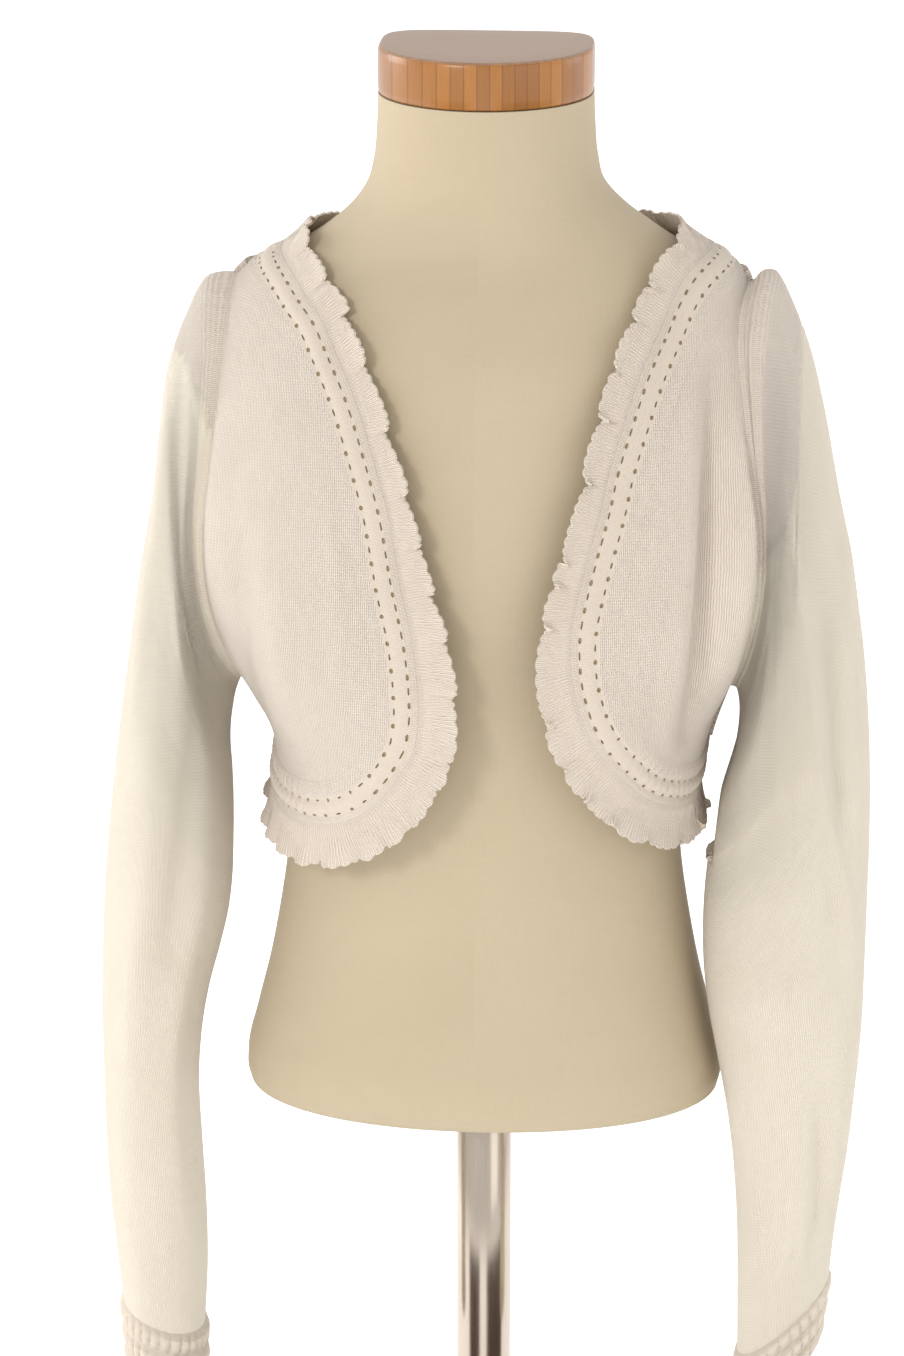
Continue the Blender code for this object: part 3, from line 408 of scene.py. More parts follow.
@dataclass
class BodySurface:
    """Outer face of the garment's body, read by share round it and by height."""

    low: float = 0.470
    high: float = 0.797
    rows: int = 328
    half_columns: int = 300
    turns: int = 361
    points: Array = field(init=False)
    arc: Array = field(init=False)
    climb: Array = field(init=False)

    def __post_init__(self) -> None:
        """Work out the lookup grids of points, lengths round and lengths up."""
        heights = np.linspace(self.low, self.high, self.rows)
        shares = np.linspace(-2, 2, 2 * self.half_columns + 1)
        self.points = np.zeros((self.rows, len(shares), 3))
        self.arc = np.zeros((self.rows, len(shares)))
        for sign in (-1, 1):
            x, y, length = self.round_lengths(heights, sign)
            wanted = shares * sign >= 0
            size = np.abs(shares[wanted])
            middle = self.turns // 2
            for r, z in enumerate(heights):
                side, back = length[r, middle], length[r, -1]
                reach = np.where(size <= 1, size * side, side + (size - 1) * (back - side))
                self.points[r, wanted, 0] = np.interp(reach, length[r], x[r])
                self.points[r, wanted, 1] = np.interp(reach, length[r], y[r])
                self.points[r, :, 2] = z
                self.arc[r, wanted] = sign * reach
        steps = np.linalg.norm(np.diff(self.points, axis=0), axis=-1)
        self.climb = np.concatenate([np.zeros((1, len(shares))), np.cumsum(steps, axis=0)])

    def round_lengths(self, heights: Array, sign: int) -> tuple[Array, Array, Array]:
        """Measure sections from the centre front to the back on one side.

        Args:
            heights: Heights of the sections.
            sign: -1 for the wearer's right side and 1 for the left.

        Returns:
            The x, the y and the length along each section.
        """
        turn = np.linspace(0.0, math.pi, self.turns)
        x, y = section(np.asarray(heights)[..., None], turn * sign, BODY)
        steps = np.hypot(np.diff(x, axis=-1), np.diff(y, axis=-1))
        return x, y, np.concatenate([np.zeros(x.shape[:-1] + (1,)), np.cumsum(steps, axis=-1)], -1)

    def read(self, values: Array, share: Array, height: Array) -> Array:
        """Read a lookup grid between its cells.

        Args:
            values: One of the lookup grids.
            share: Shares round the body.
            height: Heights.

        Returns:
            The values there.
        """
        r = np.clip((height - self.low) / (self.high - self.low) * (self.rows - 1), 0, self.rows - 1.001)
        c = np.clip((share + 2) / 4 * (2 * self.half_columns), 0, 2 * self.half_columns - 0.001)
        return between_cells(values, r, c)

    def at(self, share: Array, height: Array) -> Array:
        """Return the points of the face at shares and heights."""
        return self.read(self.points, share, height)

    def cloth_uv(self, share: Array, height: Array) -> Array:
        """Return the length round and the length up, in metres, for the knit."""
        return np.stack([self.read(self.arc, share, height), self.read(self.climb, share, height)], -1)

    def uv_of_points(self, points: Array) -> Array:
        """Measure where points lie on the cloth of the body.

        Args:
            points: Points on or near the face.

        Returns:
            The length round and the length up of each point.
        """
        shares = np.linspace(0, 2, self.half_columns + 1)
        flat = points.reshape(-1, 3)
        rows = np.rint((flat[:, 2] - self.low) / (self.high - self.low) * (self.rows - 1))
        rows = np.clip(rows, 0, self.rows - 1)
        turn = np.arctan2(np.abs(self.points[..., 0]), -self.points[..., 1])
        share = np.empty(len(flat))
        for k, (point, row) in enumerate(zip(flat, rows.astype(int))):
            side = turn[row, self.half_columns:] if point[0] >= 0 else turn[row, self.half_columns::-1]
            share[k] = np.interp(math.atan2(abs(point[0]), -point[1]), side, shares)
        share *= np.where(flat[:, 0] < 0, -1, 1)
        return self.cloth_uv(share, flat[:, 2]).reshape(points.shape[:-1] + (2,))

    def arm_edge(self, sign: int, front: bool, count: int) -> Array:
        """Follow an armhole seam from the shoulder down to the underarm.

        Args:
            sign: -1 for the wearer's right side and 1 for the left.
            front: Whether the seam belongs to a front panel.
            count: How many points to make.

        Returns:
            Rows of share, without its sign, and height.
        """
        turn = np.linspace(0, math.pi, count)
        height = (ARM_TOP + ARM_BOTTOM) / 2 + (ARM_TOP - ARM_BOTTOM) / 2 * np.cos(turn)
        y = -ARM_FRONT * np.sin(turn) if front else ARM_BACK * np.sin(turn)
        __, ys, length = self.round_lengths(height, sign)
        reach = np.array([np.interp(y[k], ys[k], length[k]) for k in range(count)])
        side, back = length[:, self.turns // 2], length[:, -1]
        share = np.where(reach <= side, reach / side, 1 + (reach - side) / (back - side))
        return np.column_stack([share, height])


class NodeSheet:
    """A material's node tree, with short calls for the nodes that the finishes use."""

    def __init__(self, name: str) -> None:
        """Start a material with its Principled shader.

        Args:
            name: The material's name.
        """
        self.material = bpy.data.materials.new(name)
        self.material.use_nodes = True
        self.tree = self.material.node_tree
        self.shader = self.tree.nodes["Principled BSDF"]

    def put(self, socket: Socket, value: Feed) -> None:
        """Feed a socket.

        Args:
            socket: The socket to feed.
            value: Another socket to link, or a plain value to set.
        """
        if isinstance(value, Socket):
            self.tree.links.new(value, socket)
        else:
            socket.default_value = value

    def maths(self, operation: str, first: Feed, second: Feed = 0.0) -> Socket:
        """Add a Math node.

        Args:
            operation: Blender's name of the operation.
            first: The first value.
            second: The second value, where the operation has one.

        Returns:
            The result.
        """
        node = self.tree.nodes.new("ShaderNodeMath")
        node.operation = operation
        self.put(node.inputs[0], first)
        self.put(node.inputs[1], second)
        return node.outputs[0]

    def plus(self, first: Feed, second: Feed) -> Socket:
        """Return the sum of two values."""
        return self.maths("ADD", first, second)

    def times(self, first: Feed, second: Feed) -> Socket:
        """Return the product of two values."""
        return self.maths("MULTIPLY", first, second)

    def weighed(self, first: Feed, share: Feed, second: Feed, more: Feed) -> Socket:
        """Return the first value times share plus the second times more."""
        return self.plus(self.times(first, share), self.times(second, more))

    def reach(self, first: Feed, second: Feed) -> Socket:
        """Return the length of a level vector."""
        squares = [self.maths("POWER", side, 2.0) for side in (first, second)]
        return self.maths("SQRT", self.plus(*squares))

    def coordinates(self, kind: str) -> tuple[Socket, Socket, Socket]:
        """Split a texture coordinate.

        Args:
            kind: "UV" or "Object".

        Returns:
            Its x, y and z.
        """
        where = self.tree.nodes.new("ShaderNodeTexCoord")
        split = self.tree.nodes.new("ShaderNodeSeparateXYZ")
        self.put(split.inputs[0], where.outputs[kind])
        return split.outputs[0], split.outputs[1], split.outputs[2]

    def point(self, x: Feed, y: Feed, z: Feed = 0.0) -> Socket:
        """Join three values into one vector.

        Args:
            x: First value.
            y: Second value.
            z: Third value.

        Returns:
            The vector.
        """
        node = self.tree.nodes.new("ShaderNodeCombineXYZ")
        for socket, value in zip(node.inputs, (x, y, z)):
            self.put(socket, value)
        return node.outputs[0]

    def noise(self, where: Socket, scale: float, detail: float = 2.0, roughness: float = 0.5) -> Socket:
        """Add a noise texture.

        Args:
            where: The vector to read it at.
            scale: Cycles a metre.
            detail: Octaves.
            roughness: Weight of the finer octaves.

        Returns:
            Its value, about 0 to 1.
        """
        node = self.tree.nodes.new("ShaderNodeTexNoise")
        self.put(node.inputs["Vector"], where)
        node.inputs["Scale"].default_value = scale
        node.inputs["Detail"].default_value = detail
        node.inputs["Roughness"].default_value = roughness
        return node.outputs[0]

    def scatter(self, where: Socket) -> Socket:
        """Add a white noise texture.

        Args:
            where: A vector of whole numbers.

        Returns:
            One even random value for each vector.
        """
        node = self.tree.nodes.new("ShaderNodeTexWhiteNoise")
        self.put(node.inputs["Vector"], where)
        return node.outputs["Value"]

    def tint(self, factor: Feed, first: Union[Socket, Colour], second: Union[Socket, Colour]) -> Socket:
        """Mix two colours.

        Args:
            factor: 0 for the first colour and 1 for the second.
            first: The first colour.
            second: The second colour.

        Returns:
            The mixed colour.
        """
        node = self.tree.nodes.new("ShaderNodeMix")
        node.data_type = "RGBA"
        node.clamp_factor = True
        self.put(node.inputs["Factor"], factor)
        for name, value in (("A", first), ("B", second)):
            socket = [s for s in node.inputs if s.name == name and s.type == "RGBA"][0]
            self.put(socket, value if isinstance(value, Socket) else (*value, 1.0))
        return [s for s in node.outputs if s.type == "RGBA"][0]

    def wave(self, value: Feed) -> Socket:
        """Return a sine of whole turns, raised to run from 0 to 1."""
        sine = self.maths("SINE", self.times(value, 2 * math.pi))
        return self.plus(self.times(sine, 0.5), 0.5)

    def relief(self, height: Socket, distance: float, strength: float) -> None:
        """Give the shader a bump.

        Args:
            height: The relief, 0 to 1.
            distance: Its height in metres.
            strength: Its weight.
        """
        node = self.tree.nodes.new("ShaderNodeBump")
        node.inputs["Strength"].default_value = strength
        node.inputs["Distance"].default_value = distance
        self.put(node.inputs["Height"], height)
        self.put(self.shader.inputs["Normal"], node.outputs[0])

    def settle(self, **sockets: float) -> None:
        """Set plain values on the shader; an underscore in a name stands for a space."""
        for name, value in sockets.items():
            self.shader.inputs[name.replace("_", " ")].default_value = value


@dataclass(frozen=True)
class KnitFinish:
    """Fine stocking stitch: columns of paired legs, courses and a soft yarn halo, with painted shade in the
    grooves.
    """

    name: str
    light: Colour
    shade: Colour
    wale: float = 0.00170
    course: float = 0.00130
    depth: float = 0.00070
    strength: float = 0.95
    # Weight of the painted shade in the grooves of the stitch relief
    groove_shade: float = 0.90
    # Weight and cycles a metre of the stitches' sway, the yarn's halo and the cloudy tone
    sway: tuple[float, float] = (0.55, 160.0)
    halo: tuple[float, float] = (0.30, 2600.0)
    cloud: tuple[float, float] = (0.3, 34.0)
    leg_slant: float = 1.7
    stitch_share: float = 0.45

    def material(self) -> Material:
        """Make the knit's material.

        Returns:
            The material, read through metric UVs: wales along v.
        """
        sheet = NodeSheet(self.name)
        u, v, __ = sheet.coordinates("UV")
        where = sheet.point(u, v)
        slack = sheet.times(sheet.maths("SUBTRACT", sheet.noise(where, self.sway[1], 2.0), 0.5), self.sway[0])
        across = sheet.plus(sheet.maths("DIVIDE", u, self.wale), slack)
        along = sheet.plus(sheet.maths("DIVIDE", v, self.course), slack)
        leg = sheet.maths("ABSOLUTE", sheet.maths("SUBTRACT", sheet.maths("FRACT", across), 0.5))
        ridge = sheet.maths("SINE", sheet.times(leg, 2 * math.pi))
        stitch = sheet.wave(sheet.plus(along, sheet.times(leg, self.leg_slant)))
        body = sheet.plus(sheet.times(stitch, self.stitch_share), 1 - self.stitch_share)
        halo = sheet.noise(where, self.halo[1], 3.0, 0.7)
        height = sheet.weighed(ridge, body, halo, self.halo[0])
        cloud = sheet.noise(where, self.cloud[1], 3.0)
        # Painted shade: the colour darkens where the relief is low, in the grooves between legs and courses;
        # the cloudy tone is the yarn's own
        tone = sheet.weighed(height, self.groove_shade, cloud, self.cloud[0])
        sheet.put(sheet.shader.inputs["Base Color"], sheet.tint(tone, self.shade, self.light))
        sheet.relief(height, self.depth, self.strength)
        sheet.settle(Roughness=0.93, Sheen_Weight=0.22, Sheen_Roughness=0.5, Specular_IOR_Level=0.25)
        return sheet.material


@dataclass(frozen=True)
class LinenFinish:
    """Closely woven linen cover: uneven threads both ways and a few slubs, with painted shade between the
    threads.
    """

    name: str
    light: Colour
    shade: Colour
    thread: float = 0.00052
    depth: float = 0.00012
    # Weight and cycles a metre of the threads' sway, the slubs and the cloudy tone
    sway: tuple[float, float] = (0.6, 300.0)
    slub: tuple[float, float] = (0.8, 900.0)
    cloud: tuple[float, float] = (0.55, 9.0)
    slub_stretch: float = 0.07

    def material(self) -> Material:
        """Make the linen's material.

        Returns:
            The material, read through metric UVs.
        """
        sheet = NodeSheet(self.name)
        u, v, __ = sheet.coordinates("UV")
        where = sheet.point(u, v)
        slack = sheet.times(sheet.noise(where, self.sway[1], 2.0), self.sway[0])
        across = sheet.plus(sheet.maths("DIVIDE", u, self.thread), slack)
        along = sheet.plus(sheet.maths("DIVIDE", v, self.thread), slack)
        warp, weft = sheet.wave(across), sheet.wave(along)
        odd = sheet.wave(sheet.times(sheet.plus(across, along), 0.5))
        weave = sheet.plus(sheet.times(sheet.times(warp, weft), 0.6), sheet.times(odd, 0.25))
        slub_across = sheet.noise(sheet.point(sheet.times(u, self.slub_stretch), v), self.slub[1], 2.0)
        slub_along = sheet.noise(sheet.point(u, sheet.times(v, self.slub_stretch)), self.slub[1], 2.0)
        slubs = sheet.times(sheet.plus(slub_across, slub_along), 0.5)
        cloud = sheet.noise(where, self.cloud[1], 4.0)
        height = sheet.plus(weave, sheet.times(slubs, self.slub[0]))
        # Painted shade and light: the colour follows the relief, darker between the threads and lighter on
        # the slubs; the cloudy tone is the cloth's own
        tone = sheet.weighed(height, 0.42, cloud, self.cloud[0])
        sheet.put(sheet.shader.inputs["Base Color"], sheet.tint(tone, self.shade, self.light))
        sheet.relief(height, self.depth, 0.45)
        sheet.settle(Roughness=0.86, Sheen_Weight=0.10, Sheen_Roughness=0.5, Specular_IOR_Level=0.3)
        return sheet.material


@dataclass(frozen=True)
class StavedWoodFinish:
    """Varnished block glued from upright staves, with growth rings on its top."""

    name: str
    pale: Colour
    deep: Colour
    top_pale: Colour
    top_deep: Colour
    stave: float = 0.0056
    stave_slant: float = 0.22
    joint_half: float = 0.455
    # Where the tree's heart lies off the block, and how far apart its rings are
    heart: tuple[float, float] = (-0.021, -0.150)
    ring: float = 0.0042
    grain_depth: float = 0.00012
    top_height: float = 0.8562

    def material(self) -> Material:
        """Make the wood's material.

        Returns:
            The material, read in the object's own metres.
        """
        sheet = NodeSheet(self.name)
        x, y, z = sheet.coordinates("Object")
        where = sheet.point(x, y, z)
        place = sheet.maths("DIVIDE", sheet.plus(x, sheet.times(y, self.stave_slant)), self.stave)
        number = sheet.maths("FLOOR", place)
        tone = sheet.scatter(sheet.point(number, 3.0, 7.0))
        drawn = sheet.point(sheet.times(x, 6.0), sheet.times(y, 6.0), sheet.times(z, 0.35))
        fibre = sheet.noise(drawn, 220.0, 4.0, 0.6)
        joint = sheet.maths("ABSOLUTE", sheet.maths("SUBTRACT", sheet.maths("FRACT", place), 0.5))
        line = sheet.maths("GREATER_THAN", joint, self.joint_half)
        side_mix = sheet.weighed(tone, 0.75, fibre, 0.45)
        side = sheet.tint(side_mix, self.deep, self.pale)
        side = sheet.tint(sheet.times(line, 0.45), side, tuple(0.45 * c for c in self.deep))
        bend = sheet.noise(where, 26.0, 3.0)
        distance = sheet.reach(sheet.plus(x, -self.heart[0]), sheet.plus(y, -self.heart[1]))
        rings = sheet.wave(sheet.plus(sheet.maths("DIVIDE", distance, self.ring), sheet.times(bend, 2.6)))
        grain = sheet.weighed(rings, 0.65, fibre, 0.5)
        top = sheet.tint(grain, self.top_deep, self.top_pale)
        is_top = sheet.maths("GREATER_THAN", z, self.top_height)
        sheet.put(sheet.shader.inputs["Base Color"], sheet.tint(is_top, side, top))
        sheet.relief(sheet.plus(fibre, sheet.times(line, -0.8)), self.grain_depth, 0.5)
        rough = sheet.plus(0.30, sheet.times(fibre, 0.16))
        sheet.put(sheet.shader.inputs["Roughness"], rough)
        sheet.settle(Coat_Weight=0.35, Coat_Roughness=0.18)
        return sheet.material


@dataclass(frozen=True)
class BrushedSteelFinish:
    """Steel brushed one way, with faint smears."""

    name: str
    colour: Colour
    dark: Colour
    roughness: float
    ringed: bool = False
    # Cycles a metre of the brushing, straight and in rings, and how far it is drawn out
    brushing: float = 2600.0
    ring_brushing: float = 5200.0
    drawn: float = 0.012
    depth: float = 0.00004

    def material(self) -> Material:
        """Make the steel's material.

        Returns:
            The material, read in the object's own metres.
        """
        sheet = NodeSheet(self.name)
        x, y, z = sheet.coordinates("Object")
        if self.ringed:
            brushed = sheet.noise(sheet.point(sheet.reach(x, y), z), self.ring_brushing, 2.0, 0.6)
        else:
            brushed = sheet.noise(sheet.point(x, y, sheet.times(z, self.drawn)), self.brushing, 3.0, 0.6)
        smear = sheet.noise(sheet.point(x, y, z), 18.0, 3.0)
        tone = sheet.weighed(brushed, 0.7, smear, 0.5)
        sheet.put(sheet.shader.inputs["Base Color"], sheet.tint(tone, self.dark, self.colour))
        rough = sheet.plus(self.roughness - 0.06, sheet.times(brushed, 0.14))
        sheet.put(sheet.shader.inputs["Roughness"], rough)
        sheet.relief(brushed, self.depth, 0.35)
        sheet.settle(Metallic=1.0, Anisotropic=0.45)
        return sheet.material


@dataclass(frozen=True)
class FloorFinish:
    """Pale studio floor."""

    name: str
    colour: Colour
    glow: float

    def material(self) -> Material:
        """Make the floor's material.

        Returns:
            The material.
        """
        sheet = NodeSheet(self.name)
        x, y, z = sheet.coordinates("Object")
        cloud = sheet.noise(sheet.point(x, y, z), 3.0, 3.0)
        tint = sheet.tint(cloud, tuple(0.98 * c for c in self.colour), self.colour)
        sheet.put(sheet.shader.inputs["Base Color"], tint)
        sheet.shader.inputs["Emission Color"].default_value = (*self.colour, 1.0)
        sheet.settle(Roughness=0.9, Emission_Strength=self.glow, Specular_IOR_Level=0.1)
        return sheet.material


class Finishes:
    """Every finish of the object, made once."""

    def __init__(self) -> None:
        """Make the materials."""
        self.body_knit = KnitFinish(
            "body_stocking_stitch", (0.85, 0.75, 0.645), (0.56, 0.465, 0.37), groove_shade=0.85).material()
        # The sleeves' knit is the body's yarn made lighter: painted light of the glow round the sleeves
        self.sleeve_knit = KnitFinish(
            "sleeve_stocking_stitch_painted_light", (0.87, 0.79, 0.66), (0.64, 0.55, 0.415), depth=0.0005,
            groove_shade=0.8).material()
        self.band_knit = KnitFinish(
            "trim_stocking_stitch", (0.675, 0.59, 0.50), (0.50, 0.42, 0.335), wale=0.00135, course=0.00125,
            depth=0.00030, strength=0.6, groove_shade=0.75).material()
        self.cuff_knit = KnitFinish(
            "cuff_stocking_stitch", (0.78, 0.69, 0.575), (0.58, 0.49, 0.375), wale=0.00135, course=0.00125,
            depth=0.00040, strength=0.7, groove_shade=0.75).material()
        self.ruffle_knit = KnitFinish(
            "ruffle_ribs", (0.755, 0.66, 0.56), (0.47, 0.385, 0.30), wale=0.00130, course=0.00125,
            depth=0.00045, strength=0.9).material()
        # Floor of each blind eyelet pit: the form's linen made darker, painted shade of the form under the
        # band
        self.eyelet_floor_shade = LinenFinish("eyelet_floor_linen_painted_shade", (0.46, 0.36, 0.215), (0.34, 0.26, 0.145)).material()
        self.linen = LinenFinish("linen_cover", (0.535, 0.445, 0.31), (0.41, 0.33, 0.215)).material()
        self.wood = StavedWoodFinish(
            "varnished_staves", (0.42, 0.165, 0.022), (0.22, 0.075, 0.010), (0.33, 0.19, 0.10),
            (0.25, 0.135, 0.07)).material()
        # The pole's steel is tinted warm brown: its own grey with a painted reflection of warm surroundings
        self.steel = BrushedSteelFinish(
            "brushed_pole_painted_warm_reflection", (0.60, 0.52, 0.44), (0.46, 0.39, 0.32), roughness=0.18).material()
        self.plate = BrushedSteelFinish(
            "brushed_plate", (0.56, 0.56, 0.57), (0.40, 0.40, 0.41), roughness=0.34, ringed=True).material()


@dataclass
class Shell:
    """A thin wall between two grids of points, with blind pits where its outer cells sink.

    A closed wall wraps its columns round.  Pits marks the cells that sink to the
    points of pit_floor.  Choice numbers the finish of each cell, and other_uv
    takes the place of uv on the cells of finish 1.
    """

    name: str
    outer: Array
    inner: Array
    uv: Array
    closed: bool = False
    pits: Optional[Array] = None
    pit_floor: Optional[Array] = None
    choice: Optional[Array] = None
    other_uv: Optional[Array] = None

    def faces(self) -> tuple[Array, Array, Array, Array]:
        """List the wall's faces.

        Returns:
            Four vertex numbers, four UV numbers and the grid cell of each face, and
            whether the face is the floor of a pit.
        """
        rows, columns = self.outer.shape[:2]
        wide = columns + 1 if self.closed else columns
        whole = np.ones((rows - 1, wide - 1), bool)
        level = whole if self.pits is None else ~self.pits
        corners: list[Array] = []
        cells: list[Array] = []
        floors: list[Array] = []

        def spot(r: Array, c: Array, layer: int) -> Array:
            """Number places of a layer's grid.

            Args:
                r: Rows.
                c: Columns.
                layer: 0 for the outer grid, 1 for the inner and 2 for the pits' floor.

            Returns:
                A vertex number and a UV number for each place.
            """
            return np.stack([(layer * rows + r) * columns + c % columns, (layer * rows + r) * wide + c], -1)

        def add(cell_row: Array, cell_column: Array, *places: tuple[Array, Array, int],
                floor: bool = False) -> None:
            """Add one face for each of some cells.

            Args:
                cell_row: Rows of the cells.
                cell_column: Columns of the cells.
                places: The rows, the columns and the layer of each of the four corners.
                floor: Whether the faces are floors of pits.
            """
            corners.append(np.stack([spot(*place) for place in places], 1))
            cells.append(cell_row * (wide - 1) + cell_column % (wide - 1))
            floors.append(np.full(len(cell_row), floor))

        def walls(mask: Array, beyond: bool, layer: int) -> None:
            """Add walls from the outer grid to a layer round the cells of a mask.

            Args:
                mask: Cells that have walls where they meet cells outside the mask.
                beyond: Whether the mask goes on past the rim, which then has no wall.
                layer: The layer that the walls reach.
            """
            above = np.concatenate([np.full((1, wide - 1), beyond), mask])
            below = np.concatenate([mask, np.full((1, wide - 1), beyond)])
            r, c = np.nonzero(below & ~above)
            add(r, c, (r, c + 1, 0), (r, c, 0), (r, c, layer), (r, c + 1, layer))
            r, c = np.nonzero(above & ~below)
            add(r - 1, c, (r, c, 0), (r, c + 1, 0), (r, c + 1, layer), (r, c, layer))
            if self.closed:
                return
            before = np.concatenate([np.full((rows - 1, 1), beyond), mask], 1)
            after = np.concatenate([mask, np.full((rows - 1, 1), beyond)], 1)
            r, c = np.nonzero(after & ~before)
            add(r, c, (r, c, 0), (r + 1, c, 0), (r + 1, c, layer), (r, c, layer))
            r, c = np.nonzero(before & ~after)
            add(r, c - 1, (r + 1, c, 0), (r, c, 0), (r, c, layer), (r + 1, c, layer))

        r, c = np.nonzero(level)
        add(r, c, (r, c, 0), (r, c + 1, 0), (r + 1, c + 1, 0), (r + 1, c, 0))
        r, c = np.nonzero(whole)
        add(r, c, (r, c, 1), (r + 1, c, 1), (r + 1, c + 1, 1), (r, c + 1, 1))
        walls(whole, False, 1)
        if self.pits is not None:
            r, c = np.nonzero(self.pits)
            add(r, c, (r, c, 2), (r, c + 1, 2), (r + 1, c + 1, 2), (r + 1, c, 2), floor=True)
            walls(level, True, 2)
        joined = np.concatenate(corners)
        return joined[..., 0], joined[..., 1], np.concatenate(cells), np.concatenate(floors)

    def build(self, *finishes: Material) -> Piece:
        """Make the wall's object.

        Args:
            finishes: The materials that choice numbers, then the one of the pits' floors.

        Returns:
            The object.
        """
        vertices, places, cells, floors = self.faces()
        grids = [self.outer, self.inner] + ([] if self.pit_floor is None else [self.pit_floor])
        points = np.concatenate([grid.reshape(-1, 3) for grid in grids])
        uv = np.concatenate([self.uv.reshape(-1, 2)] * len(grids))
        first = vertices[0]
        a, b, c, d = points[first]
        outward = self.outer.reshape(-1, 3)[first[0]] - self.inner.reshape(-1, 3)[first[0]]
        if np.dot(np.cross(c - a, d - b), outward) < 0:
            vertices, places = vertices[:, ::-1], places[:, ::-1]
        choice = np.zeros(len(cells), np.int32)
        if self.choice is not None:
            choice = self.choice.ravel()[cells].astype(np.int32)
        corner_uv = uv[places]
        if self.other_uv is not None:
            other = np.concatenate([self.other_uv.reshape(-1, 2)] * len(grids))
            marked = choice == 1
            corner_uv[marked] = other[places[marked]]
        choice[floors] = len(finishes) - 1
        return mesh_object(self.name, points, vertices, corner_uv, list(finishes), choice)


SHARP_DEGREES = 62


def mesh_object(name: str, points: Array, faces: Array, uv: Array,
                finishes: list[Material], choice: Optional[Array] = None) -> Piece:
    """Make a smooth mesh object of four-sided faces.

    Args:
        name: The object's name.
        points: Vertex points.
        faces: Four vertex numbers for each face.
        uv: A UV for each corner of each face.
        finishes: The materials.
        choice: Which material each face has.

    Returns:
        The object, linked to the scene.
    """
    used, numbers = np.unique(faces, return_inverse=True)
    points, numbers = points[used], numbers.reshape(-1)
    mesh = bpy.data.meshes.new(name)
    mesh.vertices.add(len(points))
    mesh.vertices.foreach_set("co", points.ravel())
    mesh.loops.add(len(numbers))
    mesh.polygons.add(len(faces))
    mesh.polygons.foreach_set("loop_start", np.arange(0, len(numbers), 4))
    mesh.polygons.foreach_set("vertices", numbers)
    mesh.uv_layers.new(name="cloth").data.foreach_set("uv", uv.ravel())
    for finish in finishes:
        mesh.materials.append(finish)
    if choice is not None:
        mesh.polygons.foreach_set("material_index", choice)
    mesh.update(calc_edges=True)
    mesh.validate()
    mesh.polygons.foreach_set("use_smooth", np.ones(len(mesh.polygons), bool))
    mesh.set_sharp_from_angle(angle=math.radians(SHARP_DEGREES))
    piece = bpy.data.objects.new(name, mesh)
    bpy.context.scene.collection.objects.link(piece)
    return piece


def dress(piece: Piece, node: str) -> Piece:
    """Let a piece stand for a CAD node and ride on the one body.

    Args:
        piece: The piece.
        node: The CAD node that it replaces.

    Returns:
        The piece.
    """
    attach(piece, "root")
    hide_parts(node)
    LOG.info("%s: %d faces", piece.name, len(piece.data.polygons))
    return piece


def declare_sheet(grid: Array,
                  closed: bool = False) -> None:
    """Measure the flat size of a piece's outer face; the size is not used.

    Args:
        grid: Its outer face.
        closed: Whether the columns wrap round.
    """
    whole = wrapped(grid) if closed else grid
    across = np.linalg.norm(np.diff(whole, axis=1), axis=-1)
    down = np.linalg.norm(np.diff(whole, axis=0), axis=-1)
    sides = np.cross(whole[1:, 1:] - whole[:-1, :-1], whole[1:, :-1] - whole[:-1, 1:])
    area = np.linalg.norm(sides, axis=-1).sum() / 2
    width, length = across.sum(1).max(), down.sum(0).max()
    if width * length < area:
        length = area / width * 1.001


# Draped folds of the body.  Columns: side (-1 right, 1 left), distance round from
# the centre front mm and height m of the first end, the same of the second end,
# half width mm, rise mm
FOLDS = np.array([
    (1, 110.0, 0.735, 105.0, 0.545, 8.5, -11.5),
    (1, 101.0, 0.705, 98.0, 0.555, 7.0, 1.8),
    (1, 130.0, 0.700, 127.0, 0.560, 8.5, 5.0),
    (1, 152.0, 0.640, 138.0, 0.585, 5.5, -2.8),
    (1, 78.0, 0.735, 70.0, 0.610, 8.0, 0.9),
    (1, 80.0, 0.620, 82.0, 0.545, 6.0, -1.0),
    (-1, 122.0, 0.710, 132.0, 0.600, 10.0, 2.6),
    (-1, 104.0, 0.660, 120.0, 0.545, 9.0, -3.0),
    (-1, 84.0, 0.640, 92.0, 0.545, 9.0, 1.6),
    (-1, 62.0, 0.700, 54.0, 0.590, 7.0, 0.8),
    (-1, 140.0, 0.680, 148.0, 0.600, 8.0, -2.2),
    (-1, 190.0, 0.720, 178.0, 0.600, 9.0, 2.2),
    (-1, 215.0, 0.690, 222.0, 0.575, 8.0, -1.8),
    (1, 186.0, 0.700, 196.0, 0.590, 10.0, 2.4),
    (1, 222.0, 0.720, 214.0, 0.590, 7.0, -1.6),
])


def fold_rise(arc: Array, height: Array) -> Array:
    """Find how far the draped folds lift the body's cloth.

    Args:
        arc: Length round from the centre front in metres, negative on the right.
        height: Heights.

    Returns:
        The rise in metres.
    """
    rise = np.zeros(arc.shape)
    for side, d0, z0, d1, z1, half, amount in FOLDS:
        ax, ay, bx, by = side * d0, z0 / MM, side * d1, z1 / MM
        px, py = arc / MM - ax, height / MM - ay
        span = (bx - ax) ** 2 + (by - ay) ** 2
        along = (px * (bx - ax) + py * (by - ay)) / span
        off = (px * (by - ay) - py * (bx - ax)) / math.sqrt(span)
        rise += amount * MM * np.exp(-(off / half) ** 2) * np.sin(math.pi * np.clip(along, 0, 1)) ** 0.7
    return rise


def calm_rim(shape: tuple[int, int], cells: int) -> Array:
    """Weigh a grid from 1 inside to 0 along its rim.

    Args:
        shape: Rows and columns of the grid.
        cells: How many cells in the weight reaches 1.

    Returns:
        The weights.
    """
    rows, columns = np.arange(shape[0]), np.arange(shape[1])
    down = np.minimum(rows, rows[::-1])[:, None] / cells
    across = np.minimum(columns, columns[::-1])[None, :] / cells
    edge = np.clip(down, 0, 1) * np.clip(across, 0, 1)
    return edge * edge * (3 - 2 * edge)


